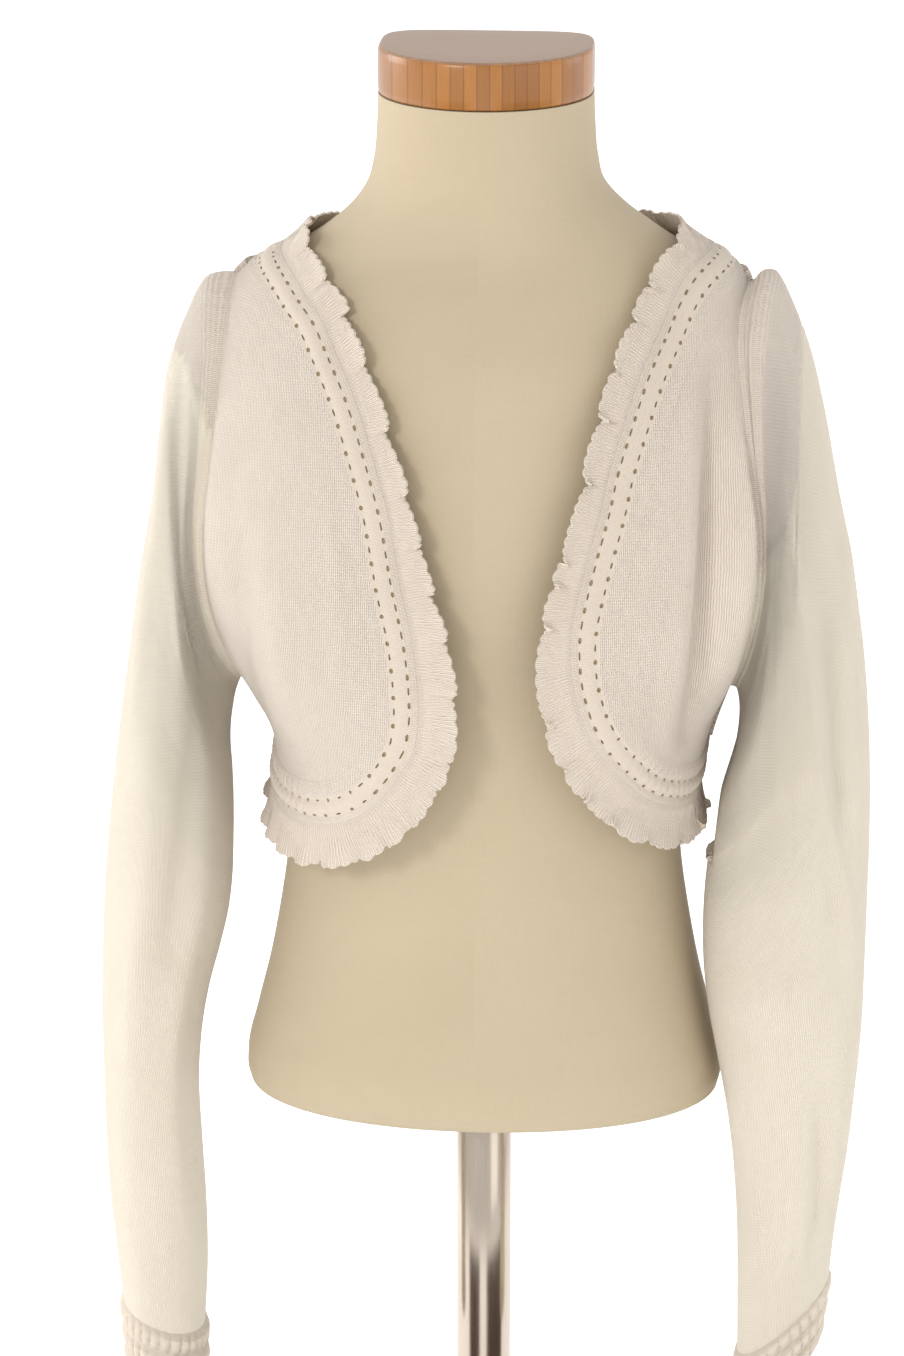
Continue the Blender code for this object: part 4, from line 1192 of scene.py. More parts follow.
# Seam between each front and its trim, from the shoulder to the side.  Columns: share, height m
FRONT_SEAMS = {
    Side.RIGHT: np.array([
        (1.000, 0.7570), (0.920, 0.7556), (0.826, 0.7529), (0.711, 0.7472), (0.627, 0.7407), (0.559, 0.7340),
        (0.511, 0.7264), (0.467, 0.7183), (0.429, 0.7102), (0.397, 0.7015), (0.370, 0.6920), (0.346, 0.6824),
        (0.325, 0.6730), (0.306, 0.6632), (0.292, 0.6529), (0.281, 0.6423), (0.271, 0.6316), (0.260, 0.6209),
        (0.251, 0.6102), (0.247, 0.5994), (0.248, 0.5884), (0.255, 0.5774), (0.273, 0.5665), (0.315, 0.5575),
        (0.372, 0.5485), (0.446, 0.5412), (0.543, 0.5372), (0.680, 0.5365), (0.830, 0.5390),
        (1.000, 0.5435)]),
    Side.LEFT: np.array([
        (1.000, 0.7570), (0.870, 0.7545), (0.768, 0.7493), (0.700, 0.7420), (0.648, 0.7338), (0.596, 0.7252),
        (0.551, 0.7166), (0.514, 0.7072), (0.483, 0.6976), (0.455, 0.6877), (0.432, 0.6777), (0.414, 0.6672),
        (0.395, 0.6567), (0.377, 0.6462), (0.363, 0.6359), (0.351, 0.6252), (0.344, 0.6142), (0.349, 0.6028),
        (0.365, 0.5915), (0.394, 0.5803), (0.441, 0.5695), (0.510, 0.5591), (0.600, 0.5490), (0.715, 0.5430),
        (0.850, 0.5405), (1.000, 0.5435)]),
}


@dataclass
class BodyPanels:
    """The two fronts and the back, in stocking stitch."""

    surface: BodySurface
    finishes: Finishes
    wall: float = 0.0020
    rows: int = 121
    front_columns: int = 71
    back_columns: int = 161
    calm_cells: int = 9
    # Row of each front's seam where its lower edge starts
    corner: dict[Side, int] = field(default_factory=lambda: {Side.RIGHT: 22, Side.LEFT: 19})
    front_seam: dict[Side, Array] = field(default_factory=lambda: dict(FRONT_SEAMS))
    # Seams of the back.  Columns: share of the way from the side to the centre, height m
    neck_seam: Array = field(default_factory=lambda: np.array([
        (0.0, 0.7570), (0.2, 0.7540), (0.45, 0.7480), (0.7, 0.7425), (1.0, 0.7400)]))
    hem_seam: Array = field(default_factory=lambda: np.array([
        (0.0, 0.5435), (0.25, 0.5520), (0.5, 0.5620), (0.75, 0.5690), (1.0, 0.5710)]))

    def wall_of(self, name: str, share: Array, height: Array, outward: float) -> Array:
        """Build one panel from its grid of shares and heights.

        Args:
            name: The CAD node that the panel stands for.
            share: Shares round the body.
            height: Heights.
            outward: Sign that turns the grid's normals out.

        Returns:
            The panel's outer face.
        """
        flat = self.surface.at(share, height)
        uv = self.surface.cloth_uv(share, height)
        rise = fold_rise(uv[..., 0], height) * calm_rim(share.shape, self.calm_cells)
        outer = flat + grid_normals(flat) * outward * rise[..., None]
        inner = outer - grid_normals(outer) * outward * self.wall
        piece = Shell(name + "_knit", outer, inner, uv).build(self.finishes.body_knit)
        dress(piece, name)
        declare_sheet(outer)
        return outer

    def side_edge(self, sign: int, front: bool, bottom: float) -> Array:
        """Follow a panel's armhole and side seam.

        Args:
            sign: -1 for the wearer's right side and 1 for the left.
            front: Whether the panel is a front.
            bottom: Height at which the side seam ends.

        Returns:
            Rows of share, without its sign, and height, from the shoulder down.
        """
        arm = self.surface.arm_edge(sign, front, 61)
        low = np.column_stack([np.ones(16), np.linspace(ARM_BOTTOM, bottom, 16)])[1:]
        return resample(np.concatenate([arm, low]), self.rows, SHARE_METRES)

    def front(self, side: Side) -> Array:
        """Build one front.

        Args:
            side: Which front.

        Returns:
            Its seam against the trim, from the shoulder to the side.
        """
        sign, seam, corner = side.sign, self.front_seam[side], self.corner[side]
        edge = self.side_edge(sign, True, seam[-1, 1])
        heights = np.linspace(seam[0, 1], ARM_TOP, self.front_columns)
        top = np.column_stack([np.full(self.front_columns, edge[0, 0]), heights])
        left = curve_through(seam[:corner + 1], self.rows)
        flat = patch(left, edge, top, curve_through(seam[corner:], self.front_columns))
        outer = self.wall_of("front_" + side.value, flat[..., 0] * sign, flat[..., 1], -sign)
        return np.concatenate([outer[:, 0], outer[-1, 1:]])

    def half_seam(self, table: Array, count: int) -> Array:
        """Run a back seam from the right side to the left.

        Args:
            table: Share of the way to the centre and height.
            count: Points on one half.

        Returns:
            Rows of an unbroken share, 0 at the centre back, and height.
        """
        part = np.linspace(0, 1, count)
        half = np.column_stack([part - 1, smooth_table(part, table)[0]])
        return np.concatenate([half, (half * [-1, 1])[-2::-1]])

    def back(self) -> tuple[Array, Array]:
        """Build the back.

        Returns:
            Its neck seam and its hem seam, from the right side to the left.
        """
        edges = []
        for sign in (-1, 1):
            edge = self.side_edge(sign, False, self.hem_seam[0, 1])
            edges.append(np.column_stack([(2 - edge[:, 0]) * sign, edge[:, 1]]))
        neck = self.half_seam(self.neck_seam, 61)
        shoulder = np.column_stack([np.full(9, -1.0), np.linspace(ARM_TOP, self.neck_seam[0, 1], 10)[:-1]])
        top = np.concatenate([shoulder, neck, (shoulder * [-1, 1])[::-1]])
        bottom = self.half_seam(self.hem_seam, 61)
        top, bottom = [resample(line, self.back_columns, SHARE_METRES) for line in (top, bottom)]
        flat = patch(edges[0], edges[1], top, bottom)
        share = np.where(flat[..., 0] < 0, -2 - flat[..., 0], 2 - flat[..., 0])
        outer = self.wall_of("back", share, flat[..., 1], -1)
        neck_line = self.surface.at(np.where(neck[:, 0] < 0, -2 - neck[:, 0], 2 - neck[:, 0]), neck[:, 1])
        return neck_line, outer[-1]


@dataclass
class TrimRun:
    """One run of the trim: a band with two rows of eyelets, and the ruffle beyond it."""

    run: Run
    surface: BodySurface
    finishes: Finishes
    seam: Array
    # Rough way from the seam out to the ruffle, halfway along
    aim: Triple
    # For each end, the side line it meets and whether it turns up it
    ends: tuple[tuple[int, bool], tuple[int, bool]]
    waves: tuple[float, ...]
    width: Array
    # Shares of the run between which its strips are puffed; beyond 1 there are none
    welted: tuple[float, float] = (2.0, 3.0)
    # Ruffle: rise of its waves, curl of its edge between them, and how far the edge draws in there
    lift_high: float = 0.0070
    curl: float = 0.0
    notch: float = 0.0030
    # Where a wave is highest, and how flat it is on top
    lobe_lean: float = 2.2
    lobe_power: float = 0.55
    band_width: float = 0.0188
    wall: float = 0.0012
    ruffle_wall: float = 0.0011
    # Length of a cell along the band, pitch of the ruffle's ribs and of its scallops
    cell: float = 0.00078
    rib: float = 0.0013
    picot: float = 0.0042
    # Widths up to which the band has the body's knit and from which it has the ruffle's
    flush_until: float = 0.0066
    ribbed_from: float = 0.0160
    eyelet_pitch: float = 0.0062
    rows_at: tuple[float, float] = (0.0080, 0.0148)
    eyelet_depth: float = 0.0010
    # Half height and half width of the eyelets, mm: the round ones and the slits of each row
    eyelet_sizes: tuple[tuple[float, float, float, float], ...] = (
        (1.25, 0.92, 1.75, 0.46), (1.55, 0.74, 2.05, 0.44))
    # How the band is laid: step along the seam, columns across it, length over which each
    # end turns to the side line, and how far the side line is followed
    lay_step: float = 0.0015
    lay_columns: int = 27
    turn_length: float = 0.066
    side_reach: float = 0.045
    # Pitch of the puffs in the raised strips, the width where the second strip starts, and
    # the share of the run over which the puffs fade in
    bead: float = 0.0048
    second_strip: float = 0.0084
    welt_fade: float = 0.10
    # Fine dots of the plain strips: rise, pitches along and across, middle and half width of each strip
    dot: float = 0.00016
    dot_pitch: tuple[float, float] = (0.0031, 0.0022)
    dotted: tuple[tuple[float, float], ...] = ((0.0052, 0.0014), (0.0116, 0.0016))
    # Ruffle: columns across, length of a full wave, how steeply the waves grow outward, how far
    # they lean along the run, rise of the ribs and height of the scallops' teeth
    ruffle_columns: int = 18
    full_wave: float = 0.024
    wave_growth: float = 1.9
    wave_lean: float = 0.075
    rib_rise: float = 0.00024
    tooth: float = 0.0011
    # Columns: distance from the seam mm, rise of the plain band mm, rise of the welted band mm
    profile: Array = field(default_factory=lambda: np.array([
        (-1.0, 0.10, 0.10), (0.3, 0.16, 0.35), (1.8, 0.24, 1.0), (4.0, 0.30, 1.25), (6.0, 0.35, 1.0),
        (7.2, 0.20, 0.3), (8.0, 0.05, 0.0), (8.9, 0.32, 0.5), (10.2, 0.72, 1.25), (11.6, 0.85, 1.5),
        (13.1, 0.72, 1.25), (14.4, 0.30, 0.4), (15.2, 0.05, 0.0), (16.0, 0.22, 0.35), (17.2, 0.35, 0.6),
        (18.9, 0.2, 0.3)]))

    def heading(self, points: Array) -> Array:
        """Find the way out over the body, square to the seam.

        Args:
            points: Points of the seam.

        Returns:
            A unit vector for each point.
        """
        along = evened(np.gradient(points, axis=0), 9)
        up = lift_to_body(points + [0, 0, 0.002]) - lift_to_body(points - [0, 0, 0.002])
        normal = np.cross(np.cross([0, 0, 1.0], points), up)
        heading = unit(np.cross(along, normal))
        middle = len(points) // 2
        return heading * np.sign(np.dot(heading[middle], np.asarray(self.aim)))

    def side_row(self, sign: int, height: float, upward: bool, widths: Array) -> Array:
        """Follow the side line of the body from a height.

        Args:
            sign: -1 for the right side and 1 for the left.
            height: Where the row starts.
            upward: Whether it climbs.
            widths: Lengths along it, in metres.

        Returns:
            Points along the side line.
        """
        heights = height + np.linspace(0, self.side_reach, 91) * (1 if upward else -1)
        half = smooth_table(heights, BODY)[0 if sign < 0 else 1] * MM
        length = lengths_along(np.column_stack([half, heights]))
        at = np.clip(widths, 0, None)
        x, z = np.interp(at, length, half), np.interp(at, length, heights)
        return np.column_stack([sign * x, np.zeros(len(at)), z])

    def lay(self) -> tuple[Array, Array, Array]:
        """Lay the band's grid over the body.

        Returns:
            Widths across it, its points and its normals.
        """
        length = lengths_along(self.seam)[-1]
        points = lift_to_body(resample(self.seam, int(length / self.lay_step) + 1))
        heading = self.heading(points)
        widths = np.linspace(-0.001, self.band_width + 0.0004, self.lay_columns)
        spot = lift_to_body(points + heading * widths[0])
        going, columns = heading, [spot]
        for step_length in np.diff(widths):
            moved = lift_to_body(spot + going * step_length)
            going = unit(moved - spot)
            spot = spot + going * step_length
            columns.append(spot)
        grid = np.stack(columns, 1)
        reach = min(int(self.turn_length / self.lay_step), len(grid) // 3)
        fade = ((1 - np.arange(reach) / reach) ** 2)[:, None, None]
        first = self.side_row(self.ends[0][0], points[0, 2], self.ends[0][1], widths) - grid[0]
        last = self.side_row(self.ends[1][0], points[-1, 2], self.ends[1][1], widths) - grid[-1]
        grid[:reach] += first[None] * fade
        grid[-reach:] += last[None] * fade[::-1]
        normal = away_from_axis(grid_normals(grid), grid)
        normal[[0, -1], :, 1] = 0.0
        return widths, grid, unit(normal)

    def eyelets(self, length: float, along: Array, across: Array) -> Array:
        """Mark the eyelets in the band's grid and shape their rims.

        Args:
            length: Length of the run.
            along: Length along the run of each point; changed in place.
            across: Width across the band of each point; changed in place.

        Returns:
            Which cells sink.
        """
        pits = np.zeros((along.shape[0] - 1, along.shape[1] - 1), bool)
        cell_along = length / (along.shape[0] - 1)
        cell_across = across[0, 1] - across[0, 0]
        reach = 2
        p = (np.arange(2 * reach + 1) - reach)[:, None] / reach
        q = np.arange(-1, 2)[None, :]
        norm = np.maximum(np.hypot(p, q), 1e-9)
        count = int(length / self.eyelet_pitch)
        for row, place in enumerate(self.rows_at):
            round_tall, round_wide, slit_tall, slit_wide = self.eyelet_sizes[row]
            for k in range(1, count):
                at = (k + 0.5 * row) * length / count
                tall, wide = (slit_tall, slit_wide) if k % 2 else (round_tall, round_wide)
                closed_up = 0.6 if self.welted[0] < at / length < self.welted[1] else 1.0
                tall *= closed_up * (0.94 + 0.06 * math.sin(k * 2.3))
                r0 = int(round(at / cell_along)) - reach
                c0 = int(round((place - across[0, 0]) / cell_across)) - 1
                if r0 < 2 or r0 + 2 * reach > len(along) - 3:
                    continue
                pits[r0:r0 + 2 * reach, c0:c0 + 2] = True
                block = (slice(r0, r0 + 2 * reach + 1), slice(c0, c0 + 3))
                along[block] = at + p / norm * tall * MM
                across[block] = place + q / norm * wide * MM
        return pits

    def puff(self, length: float, along: Array, across: Array) -> Array:
        """Find the rise of the band's strips.

        Args:
            length: Length of the run.
            along: Length along the run of each point.
            across: Width across the band of each point.

        Returns:
            The rise in metres.
        """
        distance, *rises = self.profile.T
        plain, raised = [np.interp(across / MM, distance, rise) * MM for rise in rises]
        share = along / length
        welt = np.clip((share - self.welted[0]) / self.welt_fade, 0, 1)
        welt = welt * np.clip((self.welted[1] - share) / self.welt_fade, 0, 1)
        stagger = 9.0 * (across > self.second_strip)
        beads = np.abs(np.sin(math.pi * along / self.bead + 0.5 * np.sin(along * 90.0) + stagger))
        dots = self.dot * sum(np.exp(-((across - middle) / half) ** 2) for middle, half in self.dotted)
        for at, pitch in zip((along, across), self.dot_pitch):
            dots = dots * np.sin(2 * math.pi * at / pitch)
        return plain * (1 - welt) + raised * welt * (0.62 + 0.55 * beads) + dots * (1 - welt)

    def band(self, widths: Array, grid: Array, normal: Array) -> None:
        """Build the band.

        Args:
            widths: Widths across the laid grid.
            grid: The laid points.
            normal: Their normals.
        """
        length = lengths_along(grid[:, len(widths) // 2])[-1]
        rows = int(length / self.cell) + 1
        inside = np.linspace(-0.0007, self.band_width, 26)
        along, across = [a.copy() for a in np.meshgrid(np.linspace(0, length, rows), inside, indexing="ij")]
        pits = self.eyelets(length, along, across)
        r = np.clip(along / length * (len(grid) - 1), 0, len(grid) - 1.001)
        c = np.clip((across - widths[0]) / (widths[1] - widths[0]), 0, len(widths) - 1.001)
        base, out = [between_cells(values, r, c) for values in (grid, normal)]
        outer = base + out * self.puff(length, along, across)[..., None]
        inner = base - out * self.wall
        strips = np.where(inside[1:] < self.flush_until, 1, np.where(inside[1:] > self.ribbed_from, 2, 0))
        strip = int((strips == 1).sum()) + 1
        body_uv = np.zeros(along.shape + (2,))
        body_uv[:, :strip] = self.surface.uv_of_points(base[:, :strip])
        name = "band_" + self.run.value
        # The pits' floors stand for the form's linen seen through the eyelets, darkened as painted shade
        piece = Shell(name + "_knit", outer, inner, np.stack([along, across], -1), pits=pits,
                      pit_floor=outer - out * self.eyelet_depth, choice=np.broadcast_to(strips, pits.shape),
                      other_uv=body_uv).build(self.finishes.band_knit, self.finishes.body_knit,
                                              self.finishes.ruffle_knit, self.finishes.eyelet_floor_shade)
        dress(piece, name)
        declare_sheet(outer)

    def ruffle(self, edge: Array, away: Array, normal: Array) -> None:
        """Build the ruffle beyond the band.

        Args:
            edge: Points of the band's outer edge.
            away: The way out across the band there.
            normal: Normals there.
        """
        length = lengths_along(edge)
        count = int(length[-1] / (self.rib / 4)) + 1
        at = np.linspace(0, length[-1], count)
        base, out, up = [np.column_stack([np.interp(at, length, v[:, k]) for k in range(3)])
                         for v in (edge, away, normal)]
        sizes = np.array(self.waves)
        notches = np.r_[0.0, np.cumsum(sizes)] / sizes.sum() * length[-1]
        number = np.clip(np.searchsorted(notches, at, side="right") - 1, 0, len(sizes) - 1)
        span = notches[number + 1] - notches[number]
        phase = (at - notches[number]) / span
        tangent = unit(evened(np.gradient(base, axis=0), 15))
        width = smooth_table(at / length[-1], self.width)[0] * MM
        lobe = np.sin(math.pi * phase ** self.lobe_lean) ** self.lobe_power
        uneven = 0.72 + 0.28 * np.sin(number * 2.4 + 0.7)
        tuck = np.exp(-(((phase + 0.5) % 1.0 - 0.5) / 0.10) ** 2) * (0.5 + 0.5 * np.sin(number * 1.7))
        swell = np.clip(span / self.full_wave, 0.45, 1.15) * uneven
        ribs = np.cos(2 * math.pi * at / self.rib)
        teeth = np.abs(np.sin(math.pi * at / self.picot + 0.8 * np.sin(at * 160.0)))
        columns = []
        for share in np.r_[-0.06, np.linspace(0.0, 1.0, self.ruffle_columns)]:
            grown = max(share, 0.0)
            lift = -0.0004 + 0.0010 * grown + self.lift_high * swell * lobe * grown ** self.wave_growth
            lift = lift + self.curl * tuck * grown ** 5
            lift = lift + self.rib_rise * ribs * min(1.0, 6 * grown) * (1 - 0.3 * grown)
            lean = -self.wave_lean * span * np.sin(2 * math.pi * phase) * grown ** 2
            reach = width * share - self.notch * swell * (1 - lobe) * grown ** 2.5
            reach = reach + self.tooth * (teeth - 0.5) * grown ** 8
            columns.append(base + out * reach[:, None] + up * lift[:, None] + tangent * lean[:, None])
        middle = np.stack(columns, 1)
        half = away_from_axis(grid_normals(middle), middle) * self.ruffle_wall / 2
        uv = np.stack(np.broadcast_arrays(at[:, None], np.linspace(-0.001, 0.018, len(columns))[None, :]), -1)
        name = "ruffle_" + self.run.value
        piece = Shell(name + "_knit", middle + half, middle - half, uv).build(self.finishes.ruffle_knit)
        dress(piece, name)
        declare_sheet(middle + half)

    def build(self) -> None:
        """Build the band and its ruffle."""
        widths, grid, normal = self.lay()
        self.band(widths, grid, normal)
        self.ruffle(grid[:, -1], unit(grid[:, -1] - grid[:, -3]), normal[:, -1])


@dataclass
class Sleeve:
    """One long sleeve and its puffed cuff."""

    side: Side
    finishes: Finishes
    # Columns: outer edge x mm, z m, inner edge x mm, z m, middle y mm, half depth mm
    table: Array
    # Columns: turn degrees and station of one end, the same of the other, half width degrees, rise mm
    creases: Array
    # A row of the same columns
    cuff_end: tuple[float, ...]
    power: float = 2.1
    wall: float = 0.0020
    # Where the first rings stand out from the armhole, and their room in it
    armhole_rings: tuple[float, ...] = (-0.0016, -0.0004, 0.0006)
    armhole_room: float = 0.0002
    # How far each station carries the armhole's ring: out at first, out a station, down a station
    carry: Triple = (0.0025, 0.0018, 0.004)
    blend_stations: float = 6.0
    head_swell: float = 0.0060
    # Room beside the body: at the armhole, what it grows by, and what more there is under the arm
    room: float = 0.0010
    room_growth: float = 0.0036
    underarm_room: float = 0.004
    underarm_height: float = 0.575
    underarm_fade: float = 0.02
    body_bottom: float = 0.49
    form_bottom: float = 0.37
    # Relief beside the seam of the head: rise, distance above the seam, half width
    seam_relief: tuple[Triple, ...] = (
        (0.0005, -0.0035, 0.0022), (-0.0007, 0.0, 0.0012))
    around: int = 176
    stations: int = 200
    cuff_rows: int = 46
    cuff_around: int = 224
    # Puffs round each row of the cuff, how far each row is staggered, how unevenly they are
    # spaced, how far they slant, and their least rise and what they add to it
    puffs: int = 27
    puff_stagger: float = 0.37
    puff_sway: float = 0.10
    puff_slant: float = 0.35
    puff_rise: tuple[float, float] = (0.25, 1.25)
    # Rows of the cuff.  Columns: share of its length, rise mm
    cuff_profile: Array = field(default_factory=lambda: np.array([
        (0.0, 0.1), (0.04, 0.9), (0.10, 1.5), (0.17, 1.7), (0.24, 1.5), (0.30, 0.8), (0.335, 0.1),
        (0.37, 0.8), (0.43, 1.5), (0.50, 1.7), (0.57, 1.5), (0.63, 0.8), (0.665, 0.1), (0.70, 0.8),
        (0.76, 1.5), (0.83, 1.75), (0.90, 1.6), (0.96, 1.0), (1.0, 0.3)]))

    def turns(self, count: int) -> Array:
        """Return the turns round a ring, from the inner edge; 0 is the outer edge and pi/2 the front."""
        return np.linspace(-math.pi, math.pi, count, endpoint=False)

    def oval(self, row: Array, turn: Array) -> Array:
        """Place one ring of the sleeve.

        Args:
            row: Outer edge, inner edge, middle and half depth, as in the table.
            turn: Turns round it.

        Returns:
            The ring, with x counted out from the body.
        """
        ox, oz, ix, iz, my, depth = row
        outer, inner = np.array([ox * MM, oz]), np.array([ix * MM, iz])
        centre, reach = (outer + inner) / 2, (outer - inner) / 2
        c, s = [np.sign(v) * np.abs(v) ** (2 / self.power) for v in (np.cos(turn), np.sin(turn))]
        return np.column_stack([centre[0] + reach[0] * c, my * MM - depth * MM * s, centre[1] + reach[1] * c])

    def crease_rise(self, turn: Array, station: float) -> Array:
        """Find the rise of the creases on one ring.

        Args:
            turn: Turns round the ring.
            station: Station of the ring.

        Returns:
            The rise in metres.
        """
        rise = np.zeros(len(turn))
        for a0, k0, a1, k1, wide, amount in self.creases:
            if k0 < station < k1:
                along = (station - k0) / (k1 - k0)
                middle = math.radians(a0 + (a1 - a0) * along)
                off = np.angle(np.exp(1j * (turn - middle))) / math.radians(wide)
                rise += amount * MM * np.exp(-off ** 2) * math.sin(math.pi * along) ** 0.6
        return rise

    def guard(self, y: Array, z: Array) -> Array:
        """Find the half width that the sleeve stays outside of.

        Args:
            y: Depths.
            z: Heights.

        Returns:
            Half widths in metres.
        """
        under = np.clip((self.underarm_height - z) / self.underarm_fade, 0, 1)
        body = half_width(self.side.sign, y, z) + self.underarm_room * under
        body = np.where(z < self.body_bottom, half_width(self.side.sign, y, z, FORM), body)
        return np.where(z < self.form_bottom, 0.0, body)

    def above_head_seam(self, out: Array, z: Array) -> Array:
        """Find how far points lie above the seam where the body's knit ends on the sleeve.

        Args:
            out: Distances out from the middle of the body.
            z: Heights.

        Returns:
            Distances in metres, below 0 under the seam.
        """
        reach, height = HEAD_SEAM[self.side].T
        before, line, after = [np.interp(out / MM + step, reach, height) for step in (-1, 0, 1)]
        slope = (after - before) / (2 * MM)
        return (z - line) / np.sqrt(1 + slope ** 2)

    def rings(self, count: int) -> Array:
        """Place the rings of the sleeve's outer face.

        Args:
            count: Points round each ring.

        Returns:
            Rings from the armhole to the cuff seam, with x counted out from the body.
        """
        turn = self.turns(count)
        middle, half = (ARM_TOP + ARM_BOTTOM) / 2, (ARM_TOP - ARM_BOTTOM) / 2 + self.armhole_room
        z = middle + half * np.cos(turn)
        y = -np.sin(turn) * (np.where(np.sin(turn) > 0, ARM_FRONT, ARM_BACK) + self.armhole_room)
        hole = np.column_stack([half_width(self.side.sign, y, z), y, z])
        keyed = np.column_stack([np.arange(len(self.table)), self.table])
        rings = [hole + [out, 0, 0] for out in self.armhole_rings]
        first, out, drop = self.carry
        for k in np.linspace(0, len(self.table) - 1, self.stations):
            flat = self.oval(np.array(smooth_table(np.array(k), keyed)), turn)
            blend = min(1.0, k / self.blend_stations) ** 0.8
            blend = (blend ** (1 - 0.72 * np.clip(np.cos(turn), 0, 1)))[:, None]
            carried = hole + np.array([first + out * k, 0, -drop * max(0.0, k - 1)])
            carried[:, 0] += self.head_swell * np.abs(np.sin(turn)) * min(1.0, k / 3)
            carried[:, 2] += HEAD_PUFF[self.side] * np.clip(np.cos(turn), 0, 1) ** 2 * min(1.0, k)
            ring = carried * (1 - blend) + flat * blend
            away = unit(ring - ring.mean(0))
            ring = ring + away * self.crease_rise(turn, k)[:, None]
            least = self.guard(ring[:, 1], ring[:, 2]) + self.room + self.room_growth * min(1.0, k / 4)
            ring[:, 0] = 0.5 * (ring[:, 0] + least + np.sqrt((ring[:, 0] - least) ** 2 + 1e-6))
            above = self.above_head_seam(ring[:, 0], ring[:, 2])
            seam = sum(rise * np.exp(-((above - at) / half) ** 2) for rise, at, half in self.seam_relief)
            rings.append(ring + away * seam[:, None])
        return np.array(rings)

    def uv_of(self, grid: Array) -> Array:
        """Measure a tube's cloth in metres.

        Args:
            grid: Rings of points.

        Returns:
            UVs with one column more than the grid, counted from the outer edge.
        """
        round_it = ring_lengths(grid)
        round_it -= round_it[:, [grid.shape[1] // 2]]
        down = np.linalg.norm(np.diff(wrapped(grid), axis=0), axis=-1).mean(1)
        climb = -np.r_[0.0, np.cumsum(down)]
        return np.stack(np.broadcast_arrays(round_it, climb[:, None]), -1)

    def tube(self, name: str, node: str, outer: Array, inner: Array, finish: Material) -> None:
        """Build a tube of knit.

        Args:
            name: The piece's name.
            node: The CAD node that it replaces.
            outer: Rings of the outer face.
            inner: Rings of the inner face.
            finish: The material.
        """
        whole = wrapped(outer)
        spot = (whole[1:, 1:] + whole[:-1, :-1]) / 2
        head = self.above_head_seam(np.abs(spot[..., 0]), spot[..., 2]) > 0
        piece = Shell(name, outer, inner, self.uv_of(outer), closed=True, choice=head).build(
            finish, self.finishes.body_knit)
        dress(piece, node)
        declare_sheet(outer, closed=True)

    def sleeve(self) -> None:
        """Build the sleeve."""
        grid = self.rings(self.around) * [self.side.sign, 1, 1]
        normal = grid_normals(grid, closed=True)
        middle = grid.mean(1, keepdims=True)
        normal *= np.sign((normal * (grid - middle)).sum(-1, keepdims=True))
        name = "sleeve_" + self.side.value
        self.tube(name + "_knit", name, grid, grid - normal * self.wall, self.finishes.sleeve_knit)

    def cuff(self) -> None:
        """Build the cuff: three rows of puffs round the end of the sleeve."""
        turn = self.turns(self.cuff_around)
        last = self.rings(self.cuff_around)[-1] * [self.side.sign, 1, 1]
        end = self.oval(np.array(self.cuff_end), turn) * [self.side.sign, 1, 1]
        start = last - unit(end - last) * 0.0006
        share = np.linspace(0, 1, self.cuff_rows)
        grid = start[None] * (1 - share[:, None, None]) + end[None] * share[:, None, None]
        away = unit(grid - grid.mean(1, keepdims=True))
        rise = np.interp(share, self.cuff_profile[:, 0], self.cuff_profile[:, 1])[:, None]
        row = np.minimum((share * 3).astype(int), 2)[:, None]
        turns = turn[None, :] / (2 * math.pi) * self.puffs + self.puff_stagger * row
        turns = turns + self.puff_sway * np.sin(turn[None, :] * 5 + row)
        slant = self.puff_slant * (share[:, None] * 3 % 1.0 - 0.5)
        beads = np.abs(np.sin(math.pi * (turns + slant))) ** 0.7
        least, more = self.puff_rise
        rise = rise * (least + more * beads)
        outer = grid + away * (rise * MM)[..., None]
        inner = grid - away * self.wall
        name = "cuff_" + self.side.value
        self.tube(name + "_knit", name, outer, inner, self.finishes.cuff_knit)

    def build(self) -> None:
        """Build the sleeve and its cuff."""
        self.sleeve()
        self.cuff()


